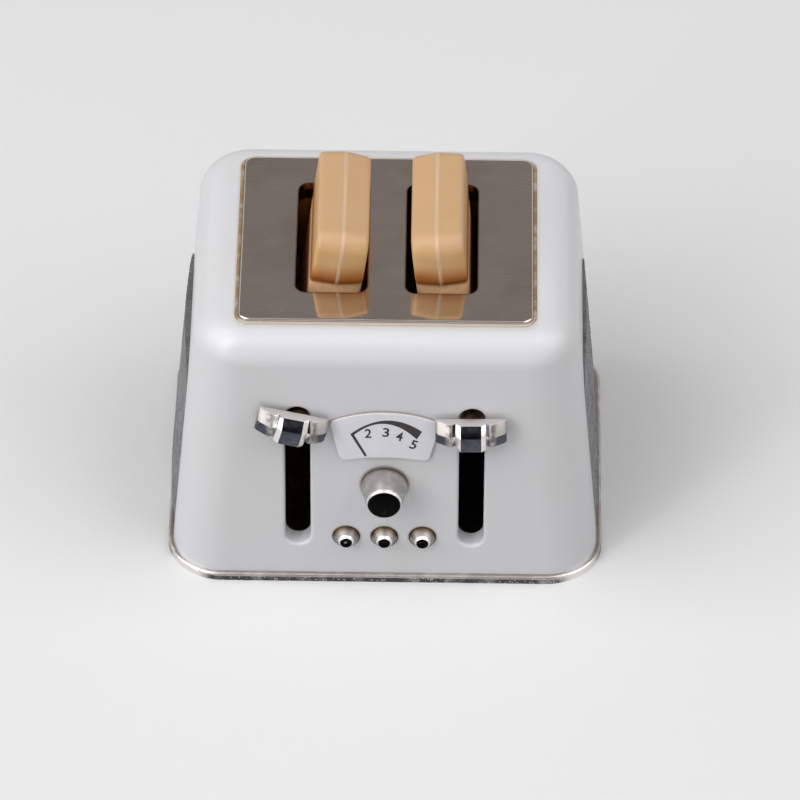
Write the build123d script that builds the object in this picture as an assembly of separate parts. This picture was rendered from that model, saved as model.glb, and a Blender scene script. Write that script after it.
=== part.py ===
from build123d import *
import os
from math import cos, radians, sin, tan

# Toy two-slot toaster, twelfth scale, in millimetres, +Z up.
# Origin: centre of the base tray's underside. The front, with its levers and knob, faces -Y.

os.makedirs("parts", exist_ok=True)

# ---------------------------------------------------------------- driving dimensions
# base tray
tray_width = 28.4
tray_depth = 22.5
tray_thickness = 0.55
tray_flange = 0.35
tray_corner_radius = 3.7
tray_lip_radius = 0.2
rim_height = 0.9
rim_thickness = 0.6

# enamelled body shell, whose walls lean inwards as they rise
shell_height = 19.3
side_lean = 4.9
face_lean = 3.0
shell_corner_radius = 3.3
shoulder_radius = 2.05
wall = 1.3
cavity_corner_radius = 1.2
cavity_shoulder_radius = 1.0

# mirror top plate, which fills the shell's flat top but for a border, its pocket and its bread slots
plate_side_border = 0.745406
plate_end_border = 0.038530
plate_thickness = 0.5
plate_corner_radius = 0.7
plate_lip_radius = 0.15
pocket_depth = 0.3
pocket_rim_radius = 0.28
slot_spacing = 7.04
slot_width = 4.6
slot_length = 10.45
slot_corner_radius = 0.7

# cast side panels
panel_length = 13.2
panel_height = 13.4
panel_skin = 0.9
left_panel_crown = 0.4
right_panel_crown = 0.25
panel_corner_radius = 2.4
panel_flange_width = 0.5
panel_flange_thickness = 0.4
panel_flange_foot = 1.2
panel_foot_gap = 0.12
panel_rib_width = 1.2

# base screws and their posts
screw_radius = 0.5
screw_length = 3.2
screw_sink = 0.05
screw_head_radius = 0.9
screw_head_depth = 0.4
screw_slot_width = 0.22
screw_slot_depth = 0.15
post_radius = 1.0
post_height = 4.2
post_inset = 2.6

# levers; heights run up the front face from the tray's top
lever_spacing = 11.2
lever_slot_width = 1.64
lever_slot_foot = 2.37
lever_slot_length = 11.62
lever_slot_rim_radius = 0.2
left_lever_headroom = 0.39
right_lever_headroom = 0.69
lever_stop_gap = 0.05
stem_radius = 0.6
slider_plate_width = 2.6
slider_plate_below = 1.2
slider_plate_above = 2.4
slider_plate_thickness = 0.5
stop_rib_height = 0.5
stop_rib_depth = 0.9
arm_width = 1.4
shelf_thickness = 0.5
shelf_width = 3.6
shelf_length = 8.0
shelf_front_setback = 0.6

# winged lever handles, creased across the front
handle_gap = 0.32
handle_top = 0.85
handle_crease = 0.2
handle_top_setback = 0.55
handle_foot_setback = 0.25
wing_half_width = 2.28
wing_foot = -0.75
wing_tip_depth = 0.62
wing_shoulder_width = 2.12
wing_shoulder_depth = 0.8
wing_root_width = 1.36
wing_root_depth = 1.2
hub_half_width = 0.98
hub_front_half_width = 0.66
hub_depth = 1.3
hub_cheek_depth = 1.05
hub_foot = -1.1
handle_bore_depth = 0.7
left_handle_turn = -13.0
right_handle_turn = 1.0
left_handle_shift = -0.35
right_handle_shift = -0.08

# dial plate
dial_thickness = 0.22
dial_foot_height = 9.72
dial_shoulder_height = 13.0
dial_crown = 0.85
dial_hollow = 0.3
dial_half_width = 3.6
dial_foot_half_width = 2.85
dial_corner_radius = 0.5
dial_edge_radius = 0.1

# timer knob
knob_height_on_face = 7.58
knob_radius = 1.55
knob_shoulder_radius = 1.14
knob_cap_radius = 1.0
knob_length = 2.0
knob_chamfer_length = 0.24
knob_shaft_radius = 0.5
knob_shaft_tail = 0.2
retainer_radius = 1.0
retainer_thickness = 0.4

# push buttons, the bar that guides them and the leaf spring behind
button_height_on_face = 3.1
button_spacing = 2.47
button_radius = 0.85
button_shoulder_radius = 0.47
button_cap_radius = 0.37
button_length = 0.7
button_chamfer_length = 0.14
button_dimple_radius = 0.2
button_dimple_depth = 0.08
button_travel = 0.35
button_collar_radius = 1.1
button_collar_thickness = 0.3
button_stem_radius = 0.35
bar_width = 7.4
bar_below = 1.2
bar_above = 2.5
bar_thickness = 0.4
bar_margin = 0.6
bar_post_spacing = 2.47
bar_post_rise = 1.8
bar_post_radius = 0.42
bar_screw_radius = 0.2
bar_screw_head_radius = 0.38
bar_screw_head_height = 0.2
bar_screw_length = 1.5
leaf_thickness = 0.12
leaf_finger_width = 0.8
leaf_finger_below = 0.6
leaf_root_height = 1.1
leaf_gap = 0.03

# bread guides
guide_sheet = 0.25
guide_side_margin = 0.12
guide_end_margin = 0.22
guide_flare = 2.1
guide_foot_width = 0.9

# toast slices and the cradles they stand in
toast_thickness = 3.35
toast_length = 9.6
toast_body_length = 8.8
toast_rise = 3.7
toast_sink = 7.0
toast_neck_rise = -0.6
lobe_top_radius = 1.3
lobe_under_radius = 1.1
toast_foot_radius = 0.7
toast_draft = 7.0
toast_edge_radius = 0.25
toast_offset_back = 0.25
left_toast_offset = 0.32
right_toast_offset = 0.0
left_toast_lean = 7.5
right_toast_lean = -5.5
cradle_wall = 0.25
cradle_floor = 0.3
cradle_lip = 0.6

# clearances
panel_clearance = 0.04
rim_clearance = 0.06
plate_clearance = 0.08
screw_clearance = 0.08
running_clearance = 0.05
axial_gap = 0.1
cradle_clearance = 0.06
shelf_clearance = 0.05

# distance under which a point counts as lying on a surface
coincidence = 0.001

# ---------------------------------------------------------------- derived places
LEFT, RIGHT = -1, 1
SIDE_NAME = {LEFT: "left", RIGHT: "right"}
shell_base_width = tray_width - 2 * tray_flange
shell_base_depth = tray_depth - 2 * tray_flange
shell_top = tray_thickness + shell_height
flat_top_width = shell_base_width - 2 * shell_height * tan(radians(side_lean)) - 2 * shoulder_radius
flat_top_depth = shell_base_depth - 2 * shell_height * tan(radians(face_lean)) - 2 * shoulder_radius
plate_width = flat_top_width - 2 * plate_side_border
plate_depth = flat_top_depth - 2 * plate_end_border
plate_bottom = shell_top - pocket_depth
plate_top = plate_bottom + plate_thickness
ceiling = shell_top - wall
slot_x = slot_spacing / 2
lever_x = lever_spacing / 2
stem_high = lever_slot_foot + lever_slot_length - stem_radius
lever_rest = {LEFT: stem_high - left_lever_headroom, RIGHT: stem_high - right_lever_headroom}
stem_low = lever_slot_foot + stem_radius + lever_stop_gap
lever_travel = {side: lever_rest[side] - stem_low for side in (LEFT, RIGHT)}
slider_front = -wall - axial_gap
slider_back = slider_front - slider_plate_thickness
bar_front = -wall - running_clearance - button_collar_thickness - button_travel - bar_margin
bar_back = bar_front - bar_thickness
leaf_back = bar_back - leaf_thickness
toast_lean = {LEFT: left_toast_lean, RIGHT: right_toast_lean}
toast_x = {LEFT: left_toast_offset - slot_x, RIGHT: right_toast_offset + slot_x}
toast_y = toast_offset_back
panel_crown = {LEFT: left_panel_crown, RIGHT: right_panel_crown}
handle_turn = {LEFT: left_handle_turn, RIGHT: right_handle_turn}
handle_shift = {LEFT: left_handle_shift, RIGHT: right_handle_shift}

face_plane = Plane(
    origin=(0, -shell_base_depth / 2, tray_thickness),
    x_dir=(1, 0, 0),
    z_dir=(0, -cos(radians(face_lean)), sin(radians(face_lean))),
)


def on_face(x, height, outward=0.0):
    """Place on the front face: sideways, up the face and out of it."""
    return face_plane * Pos(x, height, outward)


def side_plane(side):
    """Plane on a side wall: local x along the depth, local y up the wall."""
    return Plane(
        origin=(side * shell_base_width / 2, 0, tray_thickness),
        x_dir=(0, side, 0),
        z_dir=(side * cos(radians(side_lean)), 0, sin(radians(side_lean))),
    )


def toast_place(side):
    """Frame of a slice: its middle at the plate's level, local z up its lean."""
    return Pos(toast_x[side], toast_y, plate_top) * Rot(0, toast_lean[side], 0)


def post_places():
    """Places of the four corner posts."""
    x = shell_base_width / 2 - post_inset
    y = shell_base_depth / 2 - post_inset
    return [(sx * x, sy * y) for sx in (-1, 1) for sy in (-1, 1)]


def slab(x_range, y_range, z_range):
    """Box between three pairs of limits."""
    size = [high - low for low, high in (x_range, y_range, z_range)]
    middle = [(high + low) / 2 for low, high in (x_range, y_range, z_range)]
    return Pos(*middle) * Box(*size)


def disc(radius, low, high):
    """Cylinder on the local z axis between two levels."""
    return Pos(0, 0, low) * Cylinder(radius, high - low, align=(Align.CENTER, Align.CENTER, Align.MIN))


def turned(*profile):
    """Solid of revolution about the local z axis from (radius, level) points."""
    return revolve(Plane.XZ * make_face(Polyline(*profile, close=True)), Axis.Z)


def leaning_block(width, depth, height, radius):
    """Rounded block on the tray's top whose four walls lean inwards."""
    top_width = width - 2 * height * tan(radians(side_lean))
    top_depth = depth - 2 * height * tan(radians(face_lean))
    foot = Pos(0, 0, tray_thickness) * RectangleRounded(width, depth, radius)
    head = Pos(0, 0, tray_thickness + height) * RectangleRounded(top_width, top_depth, radius)
    return loft([foot, head], ruled=True)


def cavity_block(height, clearance=0.0):
    """The room inside the shell's walls, less a clearance."""
    width = shell_base_width - 2 * wall / cos(radians(side_lean)) - 2 * clearance
    depth = shell_base_depth - 2 * wall / cos(radians(face_lean)) - 2 * clearance
    return leaning_block(width, depth, height, cavity_corner_radius)


def top_edges(solid):
    """Edges of the highest face."""
    return solid.faces().sort_by(Axis.Z)[-1].edges()


# ---------------------------------------------------------------- shell and its openings
def make_body_shell():
    """Enamelled wrap with its posts, ribs, lever slots, side windows and plate pocket."""
    block = leaning_block(shell_base_width, shell_base_depth, shell_height, shell_corner_radius)
    outside = fillet(top_edges(block), shoulder_radius)
    room = cavity_block(shell_height - wall)
    shell = outside - fillet(top_edges(room), cavity_shoulder_radius)
    shell += outside & screw_posts()
    shell += stop_ribs() + bar_posts()
    for side in (LEFT, RIGHT):
        shell -= side_plane(side) * panel_window()
        shell -= on_face(side * lever_x, 0) * lever_slot()
        shell -= Pos(side * slot_x, 0, ceiling) * shell_bread_opening()
    shell -= Pos(0, 0, plate_bottom) * plate_pocket()
    shell -= face_holes()
    shell -= screw_pilots()
    shell = fillet(pocket_rim_edges(shell), pocket_rim_radius)
    return fillet(lever_slot_edges(shell), lever_slot_rim_radius)


def screw_posts():
    """Corner posts that take the base screws."""
    post = disc(post_radius, tray_thickness, tray_thickness + post_height)
    return Part() + [Pos(x, y, 0) * post for x, y in post_places()]


def screw_pilots():
    """Pilot holes up the corner posts."""
    pilot = disc(screw_radius, 0, screw_sink + screw_length + screw_clearance)
    return [Pos(x, y, 0) * pilot for x, y in post_places()]


def stop_ribs():
    """Ribs on the inner face that stop the lever sliders at the top."""
    half = slider_plate_width / 2
    rib = slab((-half, half), (0, stop_rib_height), (-wall - stop_rib_depth, -wall / 2))
    above = slider_plate_above + lever_stop_gap
    return Part() + [on_face(side * lever_x, lever_rest[side] + above) * rib for side in (LEFT, RIGHT)]


def bar_post_places():
    """Sideways places of the guide bar's two posts."""
    return (-bar_post_spacing / 2, bar_post_spacing / 2)


def bar_posts():
    """Posts on the inner face that carry the button guide bar."""
    post = disc(bar_post_radius, bar_front, -wall / 2)
    pilot = disc(bar_screw_radius, bar_front, leaf_back + bar_screw_length)
    height = button_height_on_face + bar_post_rise
    return Part() + [on_face(x, height) * (post - pilot) for x in bar_post_places()]


def lever_slot():
    """Cutter of one round-ended lever slot, through the front wall."""
    middle = lever_slot_foot + lever_slot_length / 2
    outline = Pos(0, middle, -2 * wall) * Rot(0, 0, 90) * SlotOverall(lever_slot_length, lever_slot_width)
    return extrude(outline, amount=3 * wall)


def lever_slot_edges(shell):
    """Outer rim edges of the two lever slots."""
    rim = []
    for edge in shell.edges():
        place = face_plane.to_local_coords(edge.center())
        beside = abs(abs(place.X) - lever_x) < lever_slot_width
        slot_top = lever_slot_foot + lever_slot_length
        within = lever_slot_foot - lever_slot_width < place.Y < slot_top + lever_slot_width
        if beside and within and abs(place.Z) < coincidence:
            rim.append(edge)
    return rim


def shell_bread_opening():
    """Cutter of one bread opening, a little larger than the plate's slot."""
    width = slot_width + 2 * guide_side_margin
    length = slot_length + 2 * guide_end_margin
    outline = RectangleRounded(width, length, slot_corner_radius)
    return extrude(Pos(0, 0, -wall) * outline, amount=3 * wall)


def plate_pocket():
    """Cutter of the shallow pocket that the top plate lies in."""
    width = plate_width + 2 * plate_clearance
    depth = plate_depth + 2 * plate_clearance
    outline = RectangleRounded(width, depth, plate_corner_radius + plate_clearance)
    return extrude(outline, amount=wall)


def pocket_rim_edges(shell):
    """Edges where the plate's pocket meets the shell's top."""
    half_width = plate_width / 2 + plate_clearance
    half_depth = plate_depth / 2 + plate_clearance
    rim = []
    for edge in shell.edges():
        place = edge.center()
        level = abs(place.Z - shell_top) < coincidence
        if level and abs(place.X) < half_width + coincidence and abs(place.Y) < half_depth + coincidence:
            rim.append(edge)
    return rim


def face_holes():
    """Cutters of the knob's and the buttons' holes in the front wall."""
    knob_hole = disc(knob_shaft_radius + running_clearance, -2 * wall, wall)
    button_hole = disc(button_radius + running_clearance, -wall - running_clearance, wall)
    holes = [on_face(0, knob_height_on_face) * knob_hole]
    holes += [on_face(x, button_height_on_face) * button_hole for x in button_places()]
    return holes


# ---------------------------------------------------------------- tray, plates and panels
def make_base_tray():
    """Base tray with a rounded lip, a locating rim and countersunk screw holes."""
    outline = RectangleRounded(tray_width, tray_depth, tray_corner_radius)
    tray = fillet(top_edges(extrude(outline, amount=tray_thickness)), tray_lip_radius)
    rim = cavity_block(rim_height, rim_clearance) - cavity_block(rim_height, rim_clearance + rim_thickness)
    hole = disc(screw_radius + screw_clearance, 0, tray_thickness) + screw_head_form()
    for x, y in post_places():
        rim -= Pos(x, y, 0) * disc(post_radius + screw_clearance, 0, tray_thickness + post_height)
        tray -= Pos(x, y, 0) * hole
    return tray + rim


def screw_head_form():
    """Countersunk head with the sunk face above it, as a solid."""
    return turned(
        (0, 0),
        (screw_head_radius, 0),
        (screw_head_radius, screw_sink),
        (screw_radius, screw_sink + screw_head_depth),
        (0, screw_sink + screw_head_depth),
    )


def make_base_screws():
    """Four slotted countersunk screws that hold the shell to the tray."""
    screw = screw_head_form() - disc(screw_head_radius, 0, screw_sink)
    screw += disc(screw_radius, screw_sink + screw_head_depth, screw_sink + screw_length)
    slot_top = screw_sink + screw_slot_depth
    half_slot = screw_slot_width / 2
    screw -= slab((-half_slot, half_slot), (-screw_head_radius, screw_head_radius), (0, slot_top))
    return Part() + [Pos(x, y, 0) * screw for x, y in post_places()]


def make_top_plate():
    """Mirror plate with its two bread slots and a rolled lip."""
    blank = extrude(RectangleRounded(plate_width, plate_depth, plate_corner_radius), amount=plate_thickness)
    plate = fillet(top_edges(blank), plate_lip_radius)
    slot = extrude(RectangleRounded(slot_width, slot_length, slot_corner_radius), amount=plate_thickness)
    for side in (LEFT, RIGHT):
        plate -= Pos(side * slot_x, 0, 0) * slot
    return Pos(0, 0, plate_bottom) * plate


def panel_outline(clearance, foot, border):
    """Outline of a side panel, square at its foot and rounded above."""
    half = panel_length / 2 - clearance + border
    head = panel_height - clearance + border
    outline = Polygon((-half, foot), (half, foot), (half, head), (-half, head), align=None)
    upper = outline.vertices().sort_by(Axis.Y)[-2:]
    return fillet(upper, panel_corner_radius + border)


def panel_window():
    """Cutter of a side panel's window in the shell, open at the foot."""
    return extrude(Pos(0, 0, -2 * wall) * panel_outline(0.0, -wall, 0.0), amount=4 * wall)


def make_side_panel(side):
    """Cast panel, crowned outside, ribbed inside and flanged behind the wall."""
    half = panel_length / 2
    crowned = make_face(
        Polyline((-half, 0), (-half, -wall), (half, -wall), (half, 0))
        + ThreePointArc((half, 0), (0, panel_crown[side]), (-half, 0))
    )
    block = extrude(Plane.XZ * crowned, amount=-2 * panel_height)
    face_outline = panel_outline(panel_clearance, panel_foot_gap, 0.0)
    panel = block & extrude(Pos(0, 0, -2 * wall) * face_outline, amount=4 * wall)
    flange = extrude(panel_outline(0.0, panel_flange_foot, panel_flange_width), amount=panel_flange_thickness)
    panel += Pos(0, 0, -wall - panel_flange_thickness) * flange
    inset = panel_length / 2 - panel_rib_width
    recess = (-wall - panel_flange_thickness, -panel_skin)
    for low, high in ((-inset, -panel_rib_width / 2), (panel_rib_width / 2, inset)):
        panel -= slab((low, high), (panel_flange_foot, panel_height - panel_rib_width), recess)
    return side_plane(side) * panel


def make_dial_plate():
    """Fan-shaped dial plate that lies on the front face."""
    shoulder = (dial_half_width, dial_shoulder_height)
    foot = (dial_foot_half_width, dial_foot_height)
    crown = (0, dial_shoulder_height + dial_crown)
    hollow = (0, dial_foot_height + dial_hollow)
    outline = make_face(
        ThreePointArc((-shoulder[0], shoulder[1]), crown, shoulder)
        + Line(shoulder, foot)
        + ThreePointArc(foot, hollow, (-foot[0], foot[1]))
        + Line((-foot[0], foot[1]), (-shoulder[0], shoulder[1]))
    )
    blank = extrude(fillet(outline.vertices(), dial_corner_radius), amount=dial_thickness)
    return on_face(0, 0) * fillet(top_edges(blank), dial_edge_radius)


# ---------------------------------------------------------------- bread guides
def guide_section(side, sheet):
    """Upright section of a bread guide: its inner wall is plumb, its outer wall flares."""
    near = slot_x - slot_width / 2 - guide_side_margin - sheet
    far = slot_x + slot_width / 2 + guide_side_margin + sheet
    points = [(near, tray_thickness), (far + guide_flare, tray_thickness), (far, ceiling), (near, ceiling)]
    return Plane.XZ * Polygon(*[(side * x, z) for x, z in points], align=None)


def make_bread_guide(side):
    """Sheet channel under one slot, open to the levers, with feet on the tray."""
    half = slot_length / 2 + guide_end_margin
    outer = extrude(guide_section(side, guide_sheet), amount=half + guide_sheet, both=True)
    room = extrude(guide_section(side, 0.0), amount=tray_depth, both=True)
    ahead = slab((-tray_width, tray_width), (-tray_depth, -half), (0, shell_top))
    behind = slab((-tray_width, tray_width), (half, tray_depth), (0, shell_top))
    channel = outer - (room - behind) - ahead
    return channel + guide_feet(side, half)


def guide_feet(side, half):
    """Turned-out feet along the guide's outer wall and back."""
    near = side * (slot_x - slot_width / 2 - guide_side_margin - guide_sheet)
    wall_foot = slot_x + slot_width / 2 + guide_side_margin + guide_flare
    far = side * (wall_foot + guide_sheet + guide_foot_width)
    level = (tray_thickness, tray_thickness + guide_sheet)
    wall_middle = side * (wall_foot + guide_sheet / 2)
    outer_foot = slab(sorted((wall_middle, far)), (-half, half + guide_foot_width), level)
    back_foot = slab(sorted((near, far)), (half, half + guide_sheet + guide_foot_width), level)
    return outer_foot + back_foot


# ---------------------------------------------------------------- toast and cradles
def toast_profile():
    """Side outline of a slice: a lobed head over a narrower body."""
    half = toast_length / 2
    head = Polygon(
        (-half, toast_rise),
        (half, toast_rise),
        (half, toast_neck_rise),
        (-half, toast_neck_rise),
        align=None,
    )
    head = fillet(head.vertices().sort_by(Axis.Y)[-2:], lobe_top_radius)
    head = fillet(head.vertices().sort_by(Axis.Y)[:2], lobe_under_radius)
    body_half = toast_body_length / 2
    shoulder = toast_neck_rise + lobe_under_radius
    body = Polygon(
        (-body_half, shoulder),
        (body_half, shoulder),
        (body_half, -toast_sink),
        (-body_half, -toast_sink),
        align=None,
    )
    return head + fillet(body.vertices().sort_by(Axis.Y)[:2], toast_foot_radius)


def make_toast(side):
    """Moulded slice, drafted from a seam round the middle of its crust."""
    half = toast_thickness / 2
    profile = Plane.YZ * toast_profile()
    slice_ = extrude(profile, amount=half, taper=toast_draft)
    slice_ += extrude(profile, amount=-half, taper=toast_draft)
    rims = [edge for edge in slice_.edges() if abs(abs(edge.center().X) - half) < coincidence]
    return toast_place(side) * fillet(rims, toast_edge_radius)


def cradle_keel(side):
    """Height of a cradle's level underside with the slice up."""
    lean = radians(abs(toast_lean[side]))
    half = toast_thickness / 2 + cradle_clearance + cradle_wall
    return plate_top - toast_sink * cos(lean) - half * sin(lean) - cradle_floor


def make_bread_cradle(side):
    """Tray that a slice stands in: it leans with the slice over a level keel."""
    half_width = toast_thickness / 2 + cradle_clearance
    half_length = toast_body_length / 2 + cradle_clearance
    seat = -toast_sink
    outside = slab(
        (-half_width - cradle_wall, half_width + cradle_wall),
        (-half_length - cradle_wall, half_length + cradle_wall),
        (seat - toast_thickness, seat + cradle_lip),
    )
    pocket = slab((-half_width, half_width), (-half_length, half_length), (seat, seat + toast_sink))
    cradle = toast_place(side) * (outside - pocket)
    below = slab((-tray_width, tray_width), (-tray_depth, tray_depth), (0, cradle_keel(side)))
    return cradle - below


# ---------------------------------------------------------------- levers
def make_lever_slider(side):
    """Stem through the slot, plate behind the wall and shelf under the cradle."""
    half_plate = slider_plate_width / 2
    above = lever_rest[side] + slider_plate_above
    below = min(lever_rest[side] - slider_plate_below, arm_foot(side))
    plate = slab((-half_plate, half_plate), (below, above), (slider_back, slider_front))
    stem = disc(stem_radius, slider_back, handle_gap + handle_bore_depth)
    slider = on_face(side * lever_x, 0) * plate + on_face(side * lever_x, lever_rest[side]) * stem
    return slider + lever_arm(side)


def shelf_top(side):
    """Level of a lever's shelf, just under its cradle."""
    return cradle_keel(side) - shelf_clearance


def arm_foot(side):
    """Height on the face of the underside of a lever's arm."""
    return (shelf_top(side) - shelf_thickness - tray_thickness) / cos(radians(face_lean))


def lever_arm(side):
    """Arm and shelf, level, from the slider's plate in under the cradle."""
    root = on_face(side * lever_x, arm_foot(side), slider_back).position.Y
    shelf_front = shelf_front_setback - slot_length / 2 - guide_end_margin
    level = (shelf_top(side) - shelf_thickness, shelf_top(side))
    outer = lever_x + arm_width / 2
    arm_x = sorted((side * outer, side * (outer - arm_width)))
    shelf_x = sorted((side * outer, side * (outer - shelf_width)))
    arm = slab(arm_x, (root - slider_plate_thickness / 2, shelf_front), level)
    return arm + slab(shelf_x, (shelf_front, shelf_front + shelf_length), level)


def creased_block(half_outline, foot):
    """Block with a mirrored plan that sets back above and below a crease across its front."""
    levels = ((foot, handle_foot_setback), (handle_crease, 0.0), (handle_top, handle_top_setback))
    sections = []
    for level, setback in levels:
        half = [(x, max(depth - setback, 0)) for x, depth in half_outline]
        outline = half + [(-x, depth) for x, depth in reversed(half)]
        sections.append(Plane.XZ.offset(-level) * Polygon(*outline, align=None))
    return loft(sections, ruled=True)


def handle_wings():
    """Bar of the handle, fullest beside the hub and bevelled at its tips."""
    return creased_block(
        (
            (0, hub_cheek_depth),
            (hub_half_width, hub_cheek_depth),
            (wing_root_width, wing_root_depth),
            (wing_shoulder_width, wing_shoulder_depth),
            (wing_half_width, wing_tip_depth),
            (wing_half_width, 0),
        ),
        wing_foot,
    )


def handle_hub():
    """Middle block of the handle, bevelled at its cheeks."""
    return creased_block(
        (
            (hub_front_half_width, hub_depth),
            (hub_half_width, hub_cheek_depth),
            (hub_half_width, 0),
        ),
        hub_foot,
    )


def make_lever_handle(side):
    """Winged handle, bored for the slider's stem."""
    handle = Rot(0, 0, handle_turn[side]) * Pos(handle_shift[side], 0, 0) * (handle_wings() + handle_hub())
    handle -= disc(stem_radius, 0, handle_bore_depth)
    return on_face(side * lever_x, lever_rest[side], handle_gap) * handle


# ---------------------------------------------------------------- knob and buttons
def make_timer_knob():
    """Turned knob on a shaft through the front wall."""
    tail = -wall - axial_gap - retainer_thickness - knob_shaft_tail
    knob = turned(
        (0, tail),
        (knob_shaft_radius, tail),
        (knob_shaft_radius, axial_gap),
        (knob_radius, axial_gap),
        (knob_shoulder_radius, axial_gap + knob_length - knob_chamfer_length),
        (knob_cap_radius, axial_gap + knob_length),
        (0, axial_gap + knob_length),
    )
    return on_face(0, knob_height_on_face) * knob


def make_knob_retainer():
    """Push-on washer that keeps the knob's shaft in the wall."""
    front = -wall - axial_gap
    washer = disc(retainer_radius, front - retainer_thickness, front)
    washer -= disc(knob_shaft_radius, front - retainer_thickness, front)
    return on_face(0, knob_height_on_face) * washer


def button_places():
    """Sideways places of the three buttons."""
    return [number * button_spacing for number in (-1, 0, 1)]


def make_button(x):
    """Coned button with a dimpled cap, a collar behind the wall and a guide stem."""
    collar_front = -wall - running_clearance
    collar_back = collar_front - button_collar_thickness
    stem_end = bar_back + leaf_gap
    button = turned(
        (0, stem_end),
        (button_stem_radius, stem_end),
        (button_stem_radius, collar_back),
        (button_collar_radius, collar_back),
        (button_collar_radius, collar_front),
        (button_radius, collar_front),
        (button_radius, 0),
        (button_shoulder_radius, button_length - button_chamfer_length),
        (button_cap_radius, button_length),
        (button_dimple_radius, button_length),
        (0, button_length - button_dimple_depth),
    )
    return on_face(x, button_height_on_face) * button


def make_button_bar():
    """Guide bar behind the front wall, bored for the button stems and its screws."""
    half = bar_width / 2
    bar = slab((-half, half), (-bar_below, bar_above), (bar_back, bar_front))
    for x in button_places():
        bar -= Pos(x, 0, 0) * disc(button_stem_radius + running_clearance, bar_back, bar_front)
    for x in bar_post_places():
        bar -= Pos(x, bar_post_rise, 0) * disc(bar_screw_radius, bar_back, bar_front)
    return on_face(0, button_height_on_face) * bar


def make_leaf_spring():
    """Spring leaf with a finger behind each button."""
    half = bar_width / 2
    level = (leaf_back, bar_back)
    leaf = slab((-half, half), (leaf_root_height, bar_above), level)
    half_finger = leaf_finger_width / 2
    for x in button_places():
        finger = slab((-half_finger, half_finger), (-leaf_finger_below, leaf_root_height), level)
        leaf += Pos(x, 0, 0) * finger
    for x in bar_post_places():
        leaf -= Pos(x, bar_post_rise, 0) * disc(bar_screw_radius, leaf_back, bar_back)
    return on_face(0, button_height_on_face) * leaf


def make_bar_screws():
    """Two small screws through the leaf and the bar into their posts."""
    screw = disc(bar_screw_head_radius, leaf_back - bar_screw_head_height, leaf_back)
    screw += disc(bar_screw_radius, leaf_back, leaf_back + bar_screw_length)
    height = button_height_on_face + bar_post_rise
    return Part() + [on_face(x, height) * screw for x in bar_post_places()]


# ---------------------------------------------------------------- assembly
def make_toaster():
    """All sub-parts by name, each in its place."""
    parts = {
        "body_shell": make_body_shell(),
        "base_tray": make_base_tray(),
        "base_screws": make_base_screws(),
        "top_plate": make_top_plate(),
        "dial_plate": make_dial_plate(),
        "timer_knob": make_timer_knob(),
        "knob_retainer": make_knob_retainer(),
        "button_guide_bar": make_button_bar(),
        "button_leaf_spring": make_leaf_spring(),
        "bar_screws": make_bar_screws(),
    }
    for name, x in zip(("left_button", "middle_button", "right_button"), button_places()):
        parts[name] = make_button(x)
    for side, name in SIDE_NAME.items():
        parts[name + "_side_panel"] = make_side_panel(side)
        parts[name + "_bread_guide"] = make_bread_guide(side)
        parts[name + "_lever_slider"] = make_lever_slider(side)
        parts[name + "_lever_handle"] = make_lever_handle(side)
        parts[name + "_bread_cradle"] = make_bread_cradle(side)
        parts[name + "_toast"] = make_toast(side)
    return parts


for part_name, solid in make_toaster().items():
    export_step(solid, "parts/" + part_name + ".step")
for lever_side, travel in lever_travel.items():
    print(SIDE_NAME[lever_side], "lever travel along the face, in mm:", round(travel, 3))
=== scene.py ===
"""Looks of the toy two-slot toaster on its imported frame, with sizes in millimetres unless named otherwise."""

import logging
import math
from dataclasses import dataclass
from enum import Enum
from typing import Callable, Mapping, Sequence, Union

import bmesh
import bpy
from bpy.types import Material, Mesh, Node, NodeSocket, NodeTree, Object
from mathutils import Matrix, Vector


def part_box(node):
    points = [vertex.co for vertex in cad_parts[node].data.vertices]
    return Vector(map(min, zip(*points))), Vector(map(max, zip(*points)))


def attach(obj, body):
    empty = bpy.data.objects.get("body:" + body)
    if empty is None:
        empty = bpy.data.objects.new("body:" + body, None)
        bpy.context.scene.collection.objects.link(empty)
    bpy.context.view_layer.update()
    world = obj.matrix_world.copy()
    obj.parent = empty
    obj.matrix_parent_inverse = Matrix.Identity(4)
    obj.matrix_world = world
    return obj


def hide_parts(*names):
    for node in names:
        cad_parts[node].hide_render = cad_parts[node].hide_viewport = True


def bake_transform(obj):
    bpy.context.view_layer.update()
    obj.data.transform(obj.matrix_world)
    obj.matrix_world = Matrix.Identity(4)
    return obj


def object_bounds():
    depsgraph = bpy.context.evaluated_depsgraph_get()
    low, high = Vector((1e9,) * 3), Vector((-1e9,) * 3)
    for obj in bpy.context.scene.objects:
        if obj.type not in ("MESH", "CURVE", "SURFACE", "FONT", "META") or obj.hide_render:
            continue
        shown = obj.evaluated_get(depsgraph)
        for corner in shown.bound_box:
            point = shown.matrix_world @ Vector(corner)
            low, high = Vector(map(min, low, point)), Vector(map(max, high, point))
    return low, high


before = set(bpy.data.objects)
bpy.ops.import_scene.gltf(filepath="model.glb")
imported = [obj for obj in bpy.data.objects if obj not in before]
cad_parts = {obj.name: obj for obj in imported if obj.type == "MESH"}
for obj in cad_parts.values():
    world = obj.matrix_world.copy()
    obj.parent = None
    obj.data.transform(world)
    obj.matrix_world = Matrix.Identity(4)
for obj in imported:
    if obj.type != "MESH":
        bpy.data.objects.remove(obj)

SOLID_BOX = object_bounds()
MM = 0.001

Colour = tuple[float, float, float]
Plane = tuple[Vector, Vector]
Number = Union[float, "Value"]
Place = tuple["Value", "Value", "Value"]
log = logging.getLogger("toaster")


class Side(Enum):
    """Which of a left and right pair a piece belongs to."""

    LEFT = -1
    RIGHT = 1

    @property
    def label(self) -> str:
        """Word that starts the side's node and body names."""
        return self.name.lower()


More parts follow.
